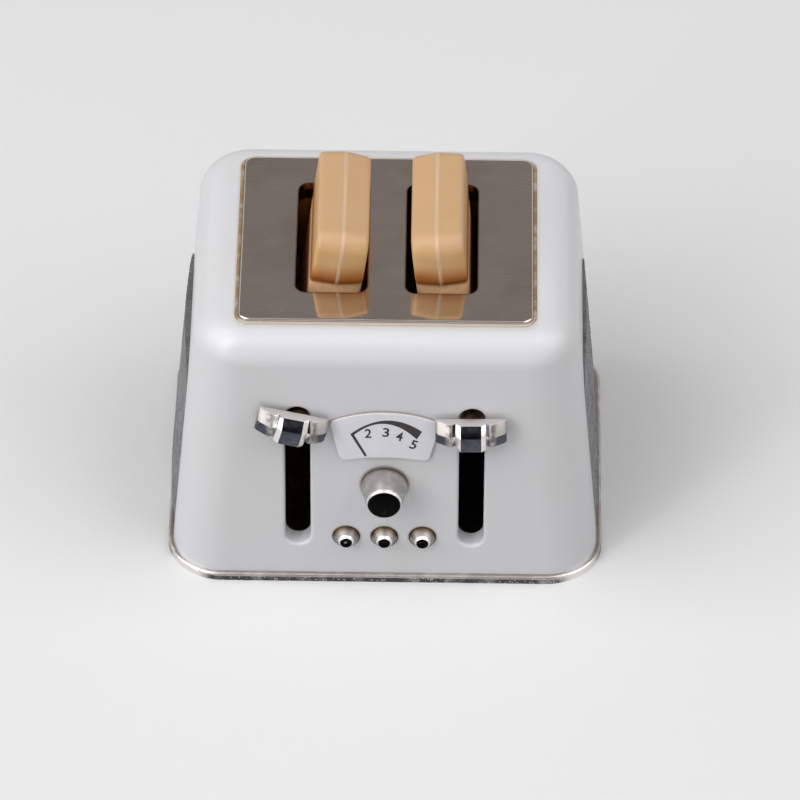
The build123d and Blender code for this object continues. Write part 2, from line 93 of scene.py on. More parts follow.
# ---------------------------------------- shader graphs
def arithmetic(operation: str, turned: bool = False) -> Callable[..., "Value"]:
    """Makes the method behind an operator.

    Args:
        operation: Operation of the Math node that the method adds.
        turned: Whether the value stands on the operator's right.

    Returns:
        The method, from a value and any further number to the node's result.
    """

    def method(value: "Value", *others: Number) -> "Value":
        """Result of a Math node of the value and the others."""
        return value.graph.math(operation, *((*others, value) if turned else (value, *others)))

    return method


@dataclass
class Value:
    """Number socket that adds Math nodes to its graph when it is used in an expression."""

    graph: "Graph"
    socket: NodeSocket

    __add__ = __radd__ = arithmetic("ADD")
    __sub__ = arithmetic("SUBTRACT")
    __rsub__ = arithmetic("SUBTRACT", turned=True)
    __mul__ = __rmul__ = arithmetic("MULTIPLY")
    __abs__ = arithmetic("ABSOLUTE")
    low = arithmetic("MINIMUM")
    high = arithmetic("MAXIMUM")

    def math(self, operation: str, *others: Number) -> "Value":
        """Result of a Math node with this value as its first input."""
        return self.graph.math(operation, self, *others)

    def reach(self, other: "Value") -> "Value":
        """Distance of a place from the middle, from how far it lies one way and the other."""
        return (self * self + other * other).math("SQRT")

    def rise(self, start: float, end: float) -> "Value":
        """Smooth step, which falls where the end is the lower of the two.

        Args:
            start: Value that gives 0.
            end: Value that gives 1.

        Returns:
            A number from 0 to 1.
        """
        span = {"From Min": min(start, end), "From Max": max(start, end)}
        inputs = {"Value": self, **span, "To Min": float(start > end), "To Max": float(start < end)}
        node = self.graph.node("ShaderNodeMapRange", inputs, interpolation_type="SMOOTHSTEP")
        return Value(self.graph, node.outputs["Result"])


class Graph:
    """Node tree of a material, of the world or of geometry nodes."""

    def __init__(self, tree: NodeTree) -> None:
        """Clears a tree, to be filled."""
        self.tree = tree
        tree.nodes.clear()

    def node(self, kind: str, inputs: Mapping[object, object] | None = None, **settings: object) -> Node:
        """Adds any node.

        Args:
            kind: Node type.
            inputs: Values or links by socket name or number.
            settings: Properties, set before the sockets.

        Returns:
            The node.
        """
        node = self.tree.nodes.new(kind)
        for name, setting in settings.items():
            setattr(node, name, setting)
        for key, value in (inputs or {}).items():
            self.feed(node.inputs[key], value)
        return node

    def feed(self, socket: NodeSocket, value: object) -> None:
        """Links a socket or sets its default.

        Args:
            socket: Input socket.
            value: Value, output socket, number or tuple.
        """
        if isinstance(value, Value):
            self.tree.links.new(value.socket, socket)
        elif isinstance(value, NodeSocket):
            self.tree.links.new(value, socket)
        elif socket.type == "RGBA" and len(value) == 3:
            socket.default_value = (*value, 1.0)
        else:
            socket.default_value = value

    def math(self, operation: str, *numbers: Number) -> Value:
        """Result of a Math node."""
        node = self.node("ShaderNodeMath", dict(enumerate(numbers)), operation=operation)
        return Value(self, node.outputs[0])

    def mix(self, factor: Number, first: object, second: object) -> NodeSocket:
        """Mixes two colours, from the first at a factor of 0 to the second at 1."""
        return self.node("ShaderNodeMix", {0: factor, 6: first, 7: second}, data_type="RGBA").outputs[2]

    def coats(self, base: object, *coats: tuple[Number, object]) -> NodeSocket:
        """Lays colours over one another.

        Args:
            base: Lowest colour, or its socket.
            coats: How much each further coat covers, from 0 to 1, and its colour.

        Returns:
            The socket of the colour that shows.
        """
        for cover, colour in coats:
            base = self.mix(cover, base, colour)
        return base

    def scaled(self, vector: NodeSocket, factors: Colour) -> NodeSocket:
        """Multiplies the three numbers of a vector."""
        node = self.node("ShaderNodeVectorMath", {0: vector, 1: factors}, operation="MULTIPLY")
        return node.outputs["Vector"]

    def split(self, vector: NodeSocket) -> Place:
        """Gives the three numbers of a vector."""
        node = self.node("ShaderNodeSeparateXYZ", {0: vector})
        return tuple(Value(self, output) for output in node.outputs)

    def ray(self, kind: str) -> Value:
        """1 for rays of a kind, such as Camera, and 0 for others."""
        return Value(self, self.node("ShaderNodeLightPath").outputs[f"Is {kind} Ray"])

    def shown(self) -> Value:
        """1 for rays that show the thing itself, and 0 for those that gather its light."""
        return self.ray("Camera").high(self.ray("Glossy")).high(self.ray("Transmission"))


class Surface(Graph):
    """Graph of one material, with the pattern makers that the finishes share."""

    def __init__(self, name: str) -> None:
        """Starts a material.

        Args:
            name: Name of the material.
        """
        self.material = bpy.data.materials.new(name)
        self.material.use_nodes = True
        super().__init__(self.material.node_tree)
        here = self.node("ShaderNodeTexCoord").outputs["Object"]
        self.place = self.scaled(here, (1.0 / MM,) * 3)
        self.x, self.y, self.z = self.split(self.place)

    def noise(
        self, scale: float, detail: float = 2.0, stretch: Colour = (1.0, 1.0, 1.0), rough: float = 0.5
    ) -> Value:
        """Cloudy pattern.

        Args:
            scale: Features per millimetre.
            detail: Octaves.
            stretch: How much each axis is packed.
            rough: Strength of the finer octaves.

        Returns:
            A number about 0.5.
        """
        spread = self.scaled(self.place, stretch)
        inputs = {"Vector": spread, "Scale": scale, "Detail": detail, "Roughness": rough}
        return Value(self, self.node("ShaderNodeTexNoise", inputs).outputs[0])

    def specks(self, scale: float, size: float, share: float) -> Value:
        """Scattered round specks.

        Args:
            scale: Cells per millimetre.
            size: Radius of a speck as a share of its cell.
            share: Share of the cells that have one.

        Returns:
            1 in a speck, 0 outside.
        """
        cells = self.node("ShaderNodeTexVoronoi", {"Vector": self.place, "Scale": scale}).outputs
        near = Value(self, cells["Distance"]).rise(size, size * 0.6)
        return near * self.split(cells["Color"])[0].math("LESS_THAN", share)

    def outside(self, across: Value, along: Value, half: Sequence[float], radius: float) -> Value:
        """Distance outside a rounded rectangle, negative within it.

        Args:
            across: Place along its width, from its middle.
            along: Place along its length, from its middle.
            half: Half its width and half its length.
            radius: Radius of its corners.

        Returns:
            The distance in millimetres.
        """
        over_x = abs(across) - (half[0] - radius)
        over_y = abs(along) - (half[1] - radius)
        return over_x.high(0.0).reach(over_y.high(0.0)) + over_x.high(over_y).low(0.0) - radius

    def bump(self, height: Value, depth: float, strength: Number, **over: NodeSocket) -> NodeSocket:
        """Normal from a height pattern.

        Args:
            height: Pattern from 0 to 1.
            depth: Depth of the relief in millimetres.
            strength: Share of the relief that shows.
            over: Normal of a coarser relief under this one.

        Returns:
            The normal's socket.
        """
        inputs = {"Height": height, "Distance": depth * MM, "Strength": strength, **over}
        return self.node("ShaderNodeBump", inputs).outputs[0]

    def finish(self, **sockets: object) -> Material:
        """Ends the graph in a Principled shader.

        Args:
            sockets: Its inputs, with underscores for blanks.

        Returns:
            The material.
        """
        inputs = {name.replace("_", " "): value for name, value in sockets.items()}
        shader = self.node("ShaderNodeBsdfPrincipled", inputs)
        self.node("ShaderNodeOutputMaterial", {"Surface": shader.outputs[0]})
        return self.material


# ---------------------------------------- finishes
@dataclass(frozen=True)
class Enamel:
    """Glossy white enamel of the shell, with painted shade round the plate, knob and buttons, and painted
    near-black shade inside the walls and under the plate.
    """

    forms: "Forms"
    white: Colour = (0.755, 0.753, 0.788)
    warm: Colour = (0.75, 0.742, 0.755)
    # haze: colour of the painted shade next to the plate
    haze: Colour = (0.58, 0.545, 0.51)
    brown: Colour = (0.27, 0.20, 0.135)
    stain: Colour = (0.17, 0.09, 0.045)
    inside_shade: Colour = (0.008, 0.006, 0.005)
    coat_depth: float = 1.27
    pocket_play: float = 0.08

    def material(self) -> Material:
        """Builds the material.

        Returns:
            The finished material.
        """
        s, plate = Surface("white_enamel"), self.forms.plate
        inside = self.forms.shell.depth(s).rise(self.coat_depth, self.coat_depth + 0.03)
        edge = plate.outline(s)
        lid = s.z.rise(plate.top - 2.4, plate.top - 2.2)
        under_plate = edge.rise(self.pocket_play - 0.05, self.pocket_play - 0.12) * lid
        near = s.z.rise(plate.top - 0.7, plate.top - 0.6)
        ahead = s.y.rise(-plate.half[1] + 0.4, -plate.half[1] - 0.3)
        # painted shade: the enamel next to the plate darkens towards the haze colour, wider in front
        plate_shade = (edge - ahead * 0.25).rise(0.55, 0.08) * near
        cloud = s.noise(0.16, 1.0)
        colour = s.coats(
            self.white,
            (cloud.rise(0.35, 0.7), self.warm),
            (s.specks(0.55, 0.05, 0.05) * 0.5, self.stain),
            (plate_shade * (0.35 + s.noise(0.9) * 0.3), self.haze),
            # painted shade round the knob's foot and the upper sides of the buttons
            (self.forms.controls.ring(s) * 0.8, self.brown),
            # painted shade: near black inside the walls and under the plate
            (inside.high(under_plate), self.inside_shade),
        )
        gloss = 0.3 + cloud * 0.05 + inside * 0.4
        relief = s.bump(s.noise(0.2, 0.0), 0.02, 0.3)
        return s.finish(Base_Color=colour, Roughness=gloss, Normal=relief, Coat_Weight=0.42, Coat_Roughness=0.2)


@dataclass(frozen=True)
class MirrorSteel:
    """Mirror-polished steel of the top plate, finely scratched and speckled, with painted glints on its haze,
    polishing arcs and specks, and brown slot rims.
    """

    plate: "PlateForm"
    steel: Colour = (0.66, 0.60, 0.575)
    warm: Colour = (0.58, 0.50, 0.45)
    edge: Colour = (0.22, 0.105, 0.05)
    glint: Colour = (0.95, 0.93, 0.92)

    def material(self) -> Material:
        """Builds the material.

        Returns:
            The finished material.
        """
        s, plate = Surface("mirror_steel"), self.plate
        beside = s.outside(abs(s.x) - plate.slot_x, s.y, plate.slot_half, plate.slot_radius)
        rim = beside.rise(0.13, 0.01) * (0.5 + s.noise(1.3) * 0.8)
        wall = s.z.rise(plate.top - 0.06, plate.top - 0.2) * beside.rise(0.5, 0.3)
        specks = s.specks(2.4, 0.075, 0.13)
        haze = s.noise(0.35, 4.0, (1.0, 1.6, 1.0), 0.6).rise(0.45, 0.75)
        swirl = self.swirl(s)
        colour = s.coats(
            self.steel,
            (s.noise(0.22, 3.0).rise(0.4, 0.7) * 0.6, self.warm),
            # painted glints: the haze, polishing arcs and specks lighten the steel towards the glint colour
            (haze * 0.15 + swirl * 0.12, self.glint),
            (specks * 0.9, self.glint),
            (rim.high(wall) * 0.95, self.edge),
        )
        scratch = s.noise(3.0, 3.0, (4.0, 0.25, 1.0)).rise(0.62, 0.72) * 0.5
        scratch = scratch + s.noise(2.6, 3.0, (0.2, 4.5, 1.0)).rise(0.64, 0.72) * 0.5 + swirl * 0.4
        relief = s.bump(scratch + s.noise(0.3, 1.0) * 0.8, 0.003, 0.35)
        gloss = 0.06 + haze * 0.05 + scratch * 0.1 + specks * 0.3
        return s.finish(Base_Color=colour, Roughness=gloss, Metallic=1.0, Normal=relief)

    @staticmethod
    def swirl(s: Surface) -> Value:
        """Faint arcs that the polishing wheel left at both ends of the plate.

        Args:
            s: Surface that is shaded.

        Returns:
            A number from 0 to 1.
        """
        around = (abs(s.x) - 7.5).reach(s.y) + s.noise(0.4, 2.0) * 0.5
        fine = (around * 17.0).math("SINE") * 0.5 + 0.5
        return fine.rise(0.55, 0.95) * s.noise(0.5, 3.0).rise(0.45, 0.7) * abs(s.x).rise(4.5, 7.0)


@dataclass(frozen=True)
class JointDirtAndShade:
    """Bead in the joint round the top plate, golden at the sides, pale in front and behind: its colour is
    partly dirt in the groove and partly the groove's painted shade.
    """

    plate: "PlateForm"
    gold: Colour = (0.30, 0.185, 0.085)
    beige: Colour = (0.60, 0.545, 0.475)

    def material(self) -> Material:
        """Builds the material.

        Returns:
            The finished material.
        """
        s = Surface("joint_dirt_and_shade")
        # gold at the sides, beige in front and behind: dirt and painted shade of the groove
        ends = (abs(s.y) - self.plate.half[1]).rise(-0.25, 0.0)
        cloud = s.noise(1.2, 3.0)
        gold = s.mix(cloud.rise(0.4, 0.7) * 0.6, self.gold, self.beige)
        colour = s.mix(ends, gold, s.mix(cloud * 0.3, self.beige, self.gold))
        return s.finish(Base_Color=colour, Roughness=0.35 + cloud * 0.1, Normal=s.bump(cloud, 0.02, 0.3))


@dataclass(frozen=True)
class TrayChrome:
    """Plating of the tray: dull and pinkish on top; down its side painted dark for the dark reflection it
    shows, and speckled; with painted glare at the corners.
    """

    thickness: float
    lip: float = 0.2
    top: Colour = (0.48, 0.43, 0.415)
    worn: Colour = (0.66, 0.61, 0.59)
    # side: painted dark reflection down the tray's side
    side: Colour = (0.075, 0.072, 0.077)
    grey: Colour = (0.42, 0.41, 0.42)
    tan: Colour = (0.30, 0.16, 0.09)
    glare: Colour = (0.90, 0.87, 0.85)

    def material(self) -> Material:
        """Builds the material.

        Returns:
            The finished material.
        """
        s = Surface("tray_chrome")
        low = s.z.rise(self.thickness - self.lip * 0.55, self.thickness - self.lip * 1.1)
        corner = abs(s.x).rise(11.2, 12.4) * abs(s.y).rise(8.6, 9.6)
        patch = s.noise(0.8, 4.0, (1.0, 1.0, 0.5), 0.6)
        top = s.mix(s.noise(1.2, 3.0).rise(0.4, 0.75), self.top, self.worn)
        side = s.coats(
            self.side,
            (patch.rise(0.45, 0.78), self.grey),
            (s.specks(6.0, 0.38, 0.42), self.worn),
            (s.specks(2.2, 0.2, 0.05) * 0.7, self.tan),
        )
        # painted reflection: the side below the lip is dark, and the corners carry painted glare
        colour = s.coats(top, (low * (1.0 - corner * 0.7), side), (corner * 0.8, self.glare))
        gloss = 0.26 + patch * 0.16 - low * 0.1 - corner * 0.12
        relief = s.bump(s.noise(3.0, 3.0), 0.02, 0.5)
        return s.finish(Base_Color=colour, Roughness=gloss, Metallic=1.0, Normal=relief)


@dataclass(frozen=True)
class TurnedChrome:
    """Plating of a turned cone: satin flank, a painted highlight on the chamfer, a cap painted near black for
    the dark reflection it shows, with painted glints in its middle, and painted shade round the foot.

    Its place gives the distances aside, up and out from the foot's middle. The painted shade at the foot and
    the flank end at heights up the cone, and the radius is that of the cap.
    """

    name: str
    place: Callable[[Surface], Place]
    foot_shade_end: float
    flank_end: float
    radius: float
    flank: Colour = (0.42, 0.405, 0.39)
    # foot: painted shade round the foot of the cone
    foot: Colour = (0.10, 0.062, 0.032)
    chamfer_highlight: Colour = (0.92, 0.91, 0.90)
    # cap: painted near black for the dark reflection the cap shows
    cap: Colour = (0.003, 0.003, 0.003)
    glint: Colour = (0.06, 0.06, 0.07)

    def material(self) -> Material:
        """Builds the material.

        Returns:
            The finished material.
        """
        s, radius, end = Surface(self.name), self.radius, self.flank_end
        aside, up, out = self.place(s)
        round_off = aside.reach(up)
        above = up.rise(radius * -0.3, radius * 0.6)
        # painted shade round the foot, stronger on its upper side
        foot = out.rise(self.foot_shade_end, 0.0) * (0.1 + above * 0.9)
        # the cap is painted near black, with painted glints in its middle
        capped = round_off.rise(radius * 1.09, radius * 1.04) * out.rise(end + 0.02, end + 0.05)
        # painted highlight on the chamfer ring
        ring = out.rise(end - 0.1, end - 0.04)
        cloud = s.noise(1.6, 3.0)
        glints = s.noise(2.0 / radius, 3.0).rise(0.6, 0.7) * round_off.rise(radius * 0.8, 0.0)
        colour = s.coats(
            self.flank,
            (cloud.rise(0.35, 0.75) * 0.3, self.chamfer_highlight),
            (foot, self.foot),
            (ring, self.chamfer_highlight),
            (capped, s.mix(glints, self.cap, self.glint)),
        )
        gloss = 0.42 + cloud * 0.1 - ring * 0.14 + capped * 0.12
        return s.finish(Base_Color=colour, Roughness=gloss, Metallic=1.0, Normal=s.bump(cloud, 0.012, 0.3))


@dataclass(frozen=True)
class HandleChrome:
    """Plating of the lever handles, with satin wings either side of hubs, and facets painted by the way they
    face as painted reflections: dark and bluish on the hubs' fronts, bluish where hubs and tips tilt down, pale
    on top, dark underneath and bright elsewhere.

    The middles are the sideways places of the two hubs.
    """

    middles: Sequence[float]
    bright: Colour = (0.84, 0.82, 0.80)
    satin: Colour = (0.42, 0.395, 0.375)
    # pale: painted reflection on the top faces
    pale: Colour = (0.80, 0.765, 0.74)
    wing_mottle: Colour = (0.16, 0.145, 0.135)
    # dark: painted dark reflection on the hubs' fronts and undersides
    dark: Colour = (0.030, 0.029, 0.033)
    blue_reflection: Colour = (0.085, 0.09, 0.115)
    hub_half_width: float = 1.15

    def material(self) -> Material:
        """Builds the material.

        Returns:
            The finished material.
        """
        s, hub = Surface("handle_chrome"), self.hub_half_width
        aside, _, up = s.split(s.node("ShaderNodeNewGeometry").outputs["Normal"])
        beside = abs(s.x - self.middles[0]).low(abs(s.x - self.middles[1]))
        wing = beside.rise(hub, hub + 0.12)
        tip = beside.rise(hub + 0.25, hub + 0.6)
        mottle = s.noise(2.2, 3.0)
        wing_mottled = wing * (1.0 - tip) * mottle.rise(0.4, 0.6)
        level = up.rise(0.88, 0.96)
        # painted reflection: the hubs' front facets turn dark and bluish
        hub_front_reflection = abs(aside).rise(0.42, 0.22) * (1.0 - wing)
        low = s.mix(mottle.rise(0.3, 0.7), self.blue_reflection, s.mix(0.5, self.dark, self.blue_reflection))
        # painted reflections by facet direction: bluish where facets tilt down, pale on top, dark underneath;
        # darker mottle on the wings between hub and tips
        colour = s.coats(
            self.bright,
            (wing, s.mix(wing_mottled, self.satin, self.wing_mottle)),
            (hub_front_reflection, s.mix(mottle.rise(0.3, 0.8), self.dark, self.blue_reflection)),
            (up.rise(0.3, 0.0) * hub_front_reflection.high(tip), low),
            (level, self.pale),
            (up.rise(-0.5, -0.8), self.dark),
            (s.specks(4.5, 0.16, 0.10) * 0.4, self.bright),
        )
        relief = s.bump(s.noise(1.3, 2.5), 0.015, 0.4)
        gloss = 0.15 + s.noise(1.6, 3.0) * 0.1 + wing.high(level) * 0.24
        return s.finish(Base_Color=colour, Roughness=gloss, Metallic=1.0, Normal=relief)


@dataclass(frozen=True)
class CastMetal:
    """Satin grey casting with a coarse sparkle."""

    grey: Colour = (0.185, 0.182, 0.194)
    pale: Colour = (0.315, 0.31, 0.325)
    pit: Colour = (0.055, 0.053, 0.055)
    spark: Colour = (0.93, 0.93, 0.95)

    def material(self) -> Material:
        """Builds the material.

        Returns:
            The finished material.
        """
        s = Surface("cast_grey")
        grain = s.noise(7.0, 3.0, rough=0.7)
        sparks = s.specks(6.5, 0.28, 0.10)
        colour = s.coats(
            self.grey,
            (s.noise(0.7, 4.0, rough=0.65).rise(0.3, 0.7), self.pale),
            (grain.rise(0.5, 0.35) * 0.5, self.pit),
            (sparks * 0.8, self.spark),
        )
        gloss = 0.42 + grain * 0.2 - sparks * 0.25
        return s.finish(Base_Color=colour, Roughness=gloss, Metallic=0.8, Normal=s.bump(grain, 0.08, 0.7))


@dataclass(frozen=True)
class DialWhite:
    """Glossy white of the dial plate, with painted pinkish shade on its thin edge."""

    face: "FacePlane"
    thickness: float
    white: Colour = (0.865, 0.865, 0.915)
    cloudy: Colour = (0.78, 0.765, 0.785)
    # edge: painted shade on the plate's edge
    edge: Colour = (0.30, 0.225, 0.205)

    def material(self) -> Material:
        """Builds the material.

        Returns:
            The finished material.
        """
        s = Surface("dial_white")
        # painted shade on the plate's edge
        flank = self.face.place(s)[2].rise(self.thickness - 0.015, self.thickness - 0.07)
        cloud = s.noise(0.5, 2.0)
        colour = s.coats(self.white, (cloud.rise(0.4, 0.75) * 0.4, self.cloudy), (flank * 0.9, self.edge))
        relief = s.bump(s.noise(0.8, 1.5), 0.01, 0.3)
        return s.finish(Base_Color=colour, Roughness=0.2 + cloud * 0.1, Normal=relief, Coat_Weight=0.4)


@dataclass(frozen=True)
class DarkSteel:
    """Dark sheet steel with upright brown streaks."""

    name: str
    dark: Colour = (0.03, 0.017, 0.010)
    brown: Colour = (0.15, 0.078, 0.04)

    def material(self) -> Material:
        """Builds the material.

        Returns:
            The finished material.
        """
        s = Surface(self.name)
        bands = s.noise(0.9, 3.0, (1.0, 1.0, 0.08))
        colour = s.mix(bands.rise(0.35, 0.65), self.dark, self.brown)
        gloss = 0.42 + s.noise(2.0) * 0.2
        return s.finish(Base_Color=colour, Roughness=gloss, Metallic=0.35, Normal=s.bump(bands, 0.04, 0.5))


@dataclass(frozen=True)
class SpringSteel:
    """Plain bright steel of screws, washers and springs."""

    steel: Colour = (0.42, 0.42, 0.44)
    dull: Colour = (0.27, 0.26, 0.26)

    def material(self) -> Material:
        """Builds the material.

        Returns:
            The finished material.
        """
        s = Surface("spring_steel")
        brush = s.noise(2.5, 3.0, (6.0, 0.5, 1.0))
        colour = s.mix(brush.rise(0.35, 0.7), self.steel, self.dull)
        gloss = 0.22 + brush * 0.15
        return s.finish(Base_Color=colour, Roughness=gloss, Metallic=1.0, Normal=s.bump(brush, 0.01, 0.4))


@dataclass(frozen=True)
class ToastWax:
    """Waxy moulded plastic in the colour of toast, paler along the mould seam, with painted shade under the
    bulge and painted light, with a glow, on the band below the neck.
    """

    form: "SliceForm"
    tan: Colour = (0.635, 0.368, 0.142)
    pale: Colour = (0.73, 0.485, 0.25)
    pink: Colour = (0.66, 0.425, 0.245)
    bulge_shade: Colour = (0.42, 0.13, 0.016)
    neck_light: Colour = (0.95, 0.58, 0.34)
    glow: Colour = (0.15, 0.085, 0.045)
    seam: Colour = (0.84, 0.60, 0.42)

    def material(self) -> Material:
        """Builds the material.

        Returns:
            The finished material.
        """
        s, neck = Surface("toast_tan"), self.form.neck
        height = s.z - self.form.level
        cloud = s.noise(0.35, 3.0)
        fine = s.noise(3.0, 3.0)
        below = height.rise(neck + 0.12, neck - 0.06)
        under = height.rise(neck + 2.1, neck + 0.7) * (1.0 - below)
        colour = s.coats(
            self.tan,
            (cloud.rise(0.35, 0.75) * 0.5, self.pale),
            (height.rise(2.5, 3.4) * 0.75, self.pink),
            # painted shade under the bulge
            (under * 0.95, self.bulge_shade),
            # painted light: the band below the neck is brightened
            (below * (0.45 + fine.rise(0.4, 0.65) * 0.5), self.neck_light),
            (self.form.beside_seam(s).rise(0.17, 0.04) * 0.6, self.seam),
        )
        relief = s.bump(s.noise(0.8, 2.0), 0.05, 0.35)
        # painted glow round and below the neck: emission standing in for light that reaches it
        lit = height.rise(neck + 0.4, neck) * height.rise(neck - 1.6, neck - 0.4)
        return s.finish(
            Base_Color=colour,
            Roughness=0.42 + fine * 0.12 + below * 0.15,
            Normal=s.bump(fine, 0.02, 0.3 + below * 0.4, Normal=relief),
            Subsurface_Weight=0.3,
            Subsurface_Radius=(1.0, 0.5, 0.25),
            Subsurface_Scale=0.8 * MM,
            Coat_Weight=0.12,
            Coat_Roughness=0.35,
            Emission_Color=s.mix(lit, (0.0, 0.0, 0.0), self.glow),
            Emission_Strength=1.0,
        )


@dataclass(frozen=True)
class PrintInk:
    """Dark grey ink of the dial's wedge, pointer and numbers."""

    ink: Colour = (0.022, 0.014, 0.013)
    thin: Colour = (0.055, 0.045, 0.047)

    def material(self) -> Material:
        """Builds the material.

        Returns:
            The finished material.
        """
        s = Surface("print_ink")
        wear = s.noise(4.0, 3.0).rise(0.4, 0.75)
        colour = s.mix(wear * 0.6, self.ink, self.thin)
        return s.finish(Base_Color=colour, Roughness=0.3 + wear * 0.15, Normal=s.bump(wear, 0.003, 0.3))


# ---------------------------------------- forms
@dataclass(frozen=True)
class FacePlane:
    """Leaning front face: places on it run sideways, up the face and out of it."""

    half_depth: float
    foot: float
    lean: float = 3.0

    def matrix(self) -> Matrix:
        """Frame of the face in millimetres.

        Returns:
            A matrix from places on the face to places in the scene.
        """
        t = math.radians(self.lean)
        axes = Matrix(((1, 0, 0), (0, math.sin(t), -math.cos(t)), (0, math.cos(t), math.sin(t)))).to_4x4()
        return Matrix.Translation((0, -self.half_depth, self.foot)) @ axes

    def point(self, x: float, up: float, out: float = 0.0) -> Vector:
        """Point on the face in millimetres."""
        return self.matrix() @ Vector((x, up, out))

    def place(self, s: Surface) -> Place:
        """Distances aside, up and out from the middle of the face's foot.

        Args:
            s: Surface that is shaded.

        Returns:
            The three distances.
        """
        t = math.radians(self.lean)
        rise, back = s.z - self.foot, s.y + self.half_depth
        return s.x, rise * math.cos(t) + back * math.sin(t), rise * math.sin(t) - back * math.cos(t)


@dataclass(frozen=True)
class ShellForm:
    """Outer form of the shell: a block whose walls lean inwards."""

    half: tuple[float, float]
    top: float
    face: FacePlane
    side_lean: float = 4.9

    def depth(self, s: Surface) -> Value:
        """Distance inwards from the nearest outer wall or the top.

        Args:
            s: Surface that is shaded.

        Returns:
            The distance in millimetres.
        """
        rise = s.z - self.face.foot
        inward_x = self.half[0] - rise * math.tan(math.radians(self.side_lean)) - abs(s.x)
        inward_y = self.half[1] - rise * math.tan(math.radians(self.face.lean)) - abs(s.y)
        return inward_x.low(inward_y).low(self.top - s.z)


@dataclass(frozen=True)
class PlateForm:
    """Form of the top plate and of its slots."""

    half: tuple[float, float]
    top: float
    radius: float = 0.7
    slot_x: float = 3.52
    slot_half: tuple[float, float] = (2.3, 5.225)
    slot_radius: float = 0.7

    def outline(self, s: Surface) -> Value:
        """Distance outside the plate's outline."""
        return s.outside(s.x, s.y, self.half, self.radius)


@dataclass(frozen=True)
class ControlForm:
    """Places and radii of the knob and the three buttons on the face."""

    face: FacePlane
    knob_up: float = 7.58
    knob_out: float = 0.1
    knob_radius: float = 1.55
    button_up: float = 3.1
    button_spacing: float = 2.47
    button_radius: float = 0.85

    def knob(self, s: Surface) -> Place:
        """Distances aside, up and out from the middle of the knob's foot."""
        x, up, out = self.face.place(s)
        return x, up - self.knob_up, out - self.knob_out

    def button(self, s: Surface) -> Place:
        """Distances aside, up and out from the middle of the nearest button's foot.

        Args:
            s: Surface that is shaded.

        Returns:
            The three distances.
        """
        x, up, out = self.face.place(s)
        number = (x * (1.0 / self.button_spacing)).math("ROUND").low(1.0).high(-1.0)
        return x - number * self.button_spacing, up - self.button_up, out

    def ring(self, s: Surface) -> Value:
        """Shade round the foot of the knob and the upper sides of the buttons.

        Args:
            s: Surface that is shaded.

        Returns:
            A number from 0 to 1.
        """
        x, up, out = self.button(s)
        near_button = (x.reach(up) - self.button_radius).rise(0.22, -0.02) * up.rise(-0.75, 0.35)
        x, up, _ = self.knob(s)
        near_knob = (x.reach(up) - self.knob_radius).rise(0.16, -0.04) * 0.8
        return near_button.high(near_knob) * out.rise(-0.5, -0.2)


@dataclass(frozen=True)
class SliceForm:
    """Sides, places and leans in degrees of the two slices, and their neck's height from the plate's top."""

    level: float
    neck: float = -0.3
    back: float = 0.25
    places: tuple[tuple[Side, float, float], ...] = ((Side.LEFT, -3.2, 7.5), (Side.RIGHT, 3.52, -5.5))

    def frame(self, side: Side) -> Matrix:
        """Frame of a slice in metres, with its z up the slice's lean.

        Args:
            side: Which slice.

        Returns:
            A matrix from the slice to the scene.
        """
        x, lean = next((x, lean) for place, x, lean in self.places if place is side)
        spot = Matrix.Translation(Vector((x, self.back, self.level)) * MM)
        return spot @ Matrix.Rotation(math.radians(lean), 4, "Y")

    def beside_seam(self, s: Surface) -> Value:
        """Distance from the nearer slice's middle plane.

        Args:
            s: Surface that is shaded.

        Returns:
            The distance in millimetres.
        """
        turns = [(x, math.radians(lean)) for _, x, lean in self.places]
        left, right = (abs((s.x - x) * math.cos(t) - (s.z - self.level) * math.sin(t)) for x, t in turns)
        return left.low(right)


@dataclass(frozen=True)
class Forms:
    """Measured places that the finishes and the pieces share."""

    shell: ShellForm
    plate: PlateForm
    controls: ControlForm
    slices: SliceForm
    tray_thickness: float

    @staticmethod
    def measured() -> "Forms":
        """Reads the solids' boxes.

        Returns:
            The places.
        """
        low, high = (Vector(corner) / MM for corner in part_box("body_shell"))
        plate = Vector(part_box("top_plate")[1]) / MM
        face = FacePlane(-low.y, low.z)
        shell = ShellForm((high.x, high.y), high.z, face)
        top_plate = PlateForm((plate.x, plate.y), plate.z)
        return Forms(shell, top_plate, ControlForm(face), SliceForm(plate.z), low.z)


# ---------------------------------------- mesh helpers
def linked(name: str, data: bpy.types.ID) -> Object:
    """Puts data in the scene as an object.

    Args:
        name: Name of the object.
        data: Its mesh, text, light or camera.

    Returns:
        The object.
    """
    thing = bpy.data.objects.new(name, data)
    bpy.context.scene.collection.objects.link(thing)
    return thing


def new_piece(name: str, mesh: Mesh, material: Material) -> Object:
    """Puts a mesh in the scene as a piece.

    Args:
        name: Name of the piece.
        mesh: Its mesh, in metres.
        material: Its only material.

    Returns:
        The object.
    """
    mesh.name = name
    mesh.materials.clear()
    mesh.materials.append(material)
    log.info("piece %s: %d faces", name, len(mesh.polygons))
    return linked(name, mesh)


def stand_in(name: str, node: str, body: str, mesh: Mesh, material: Material) -> None:
    """Shows a mesh in place of a solid.

    Args:
        name: Name of the piece.
        node: Solid that it stands for.
        body: Body that it rides on.
        mesh: Its mesh.
        material: Its material.
    """
    piece = new_piece(name, mesh, material)
    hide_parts(node)
    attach(piece, body)


def dress(material: Material, *nodes: str) -> None:
    """Gives solids their finish.

    Args:
        material: Material for all of them.
        nodes: Names of the solids.
    """
    for node in nodes:
        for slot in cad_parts[node].material_slots:
            slot.material = material
        log.info("solid %s dressed in %s", node, material.name)


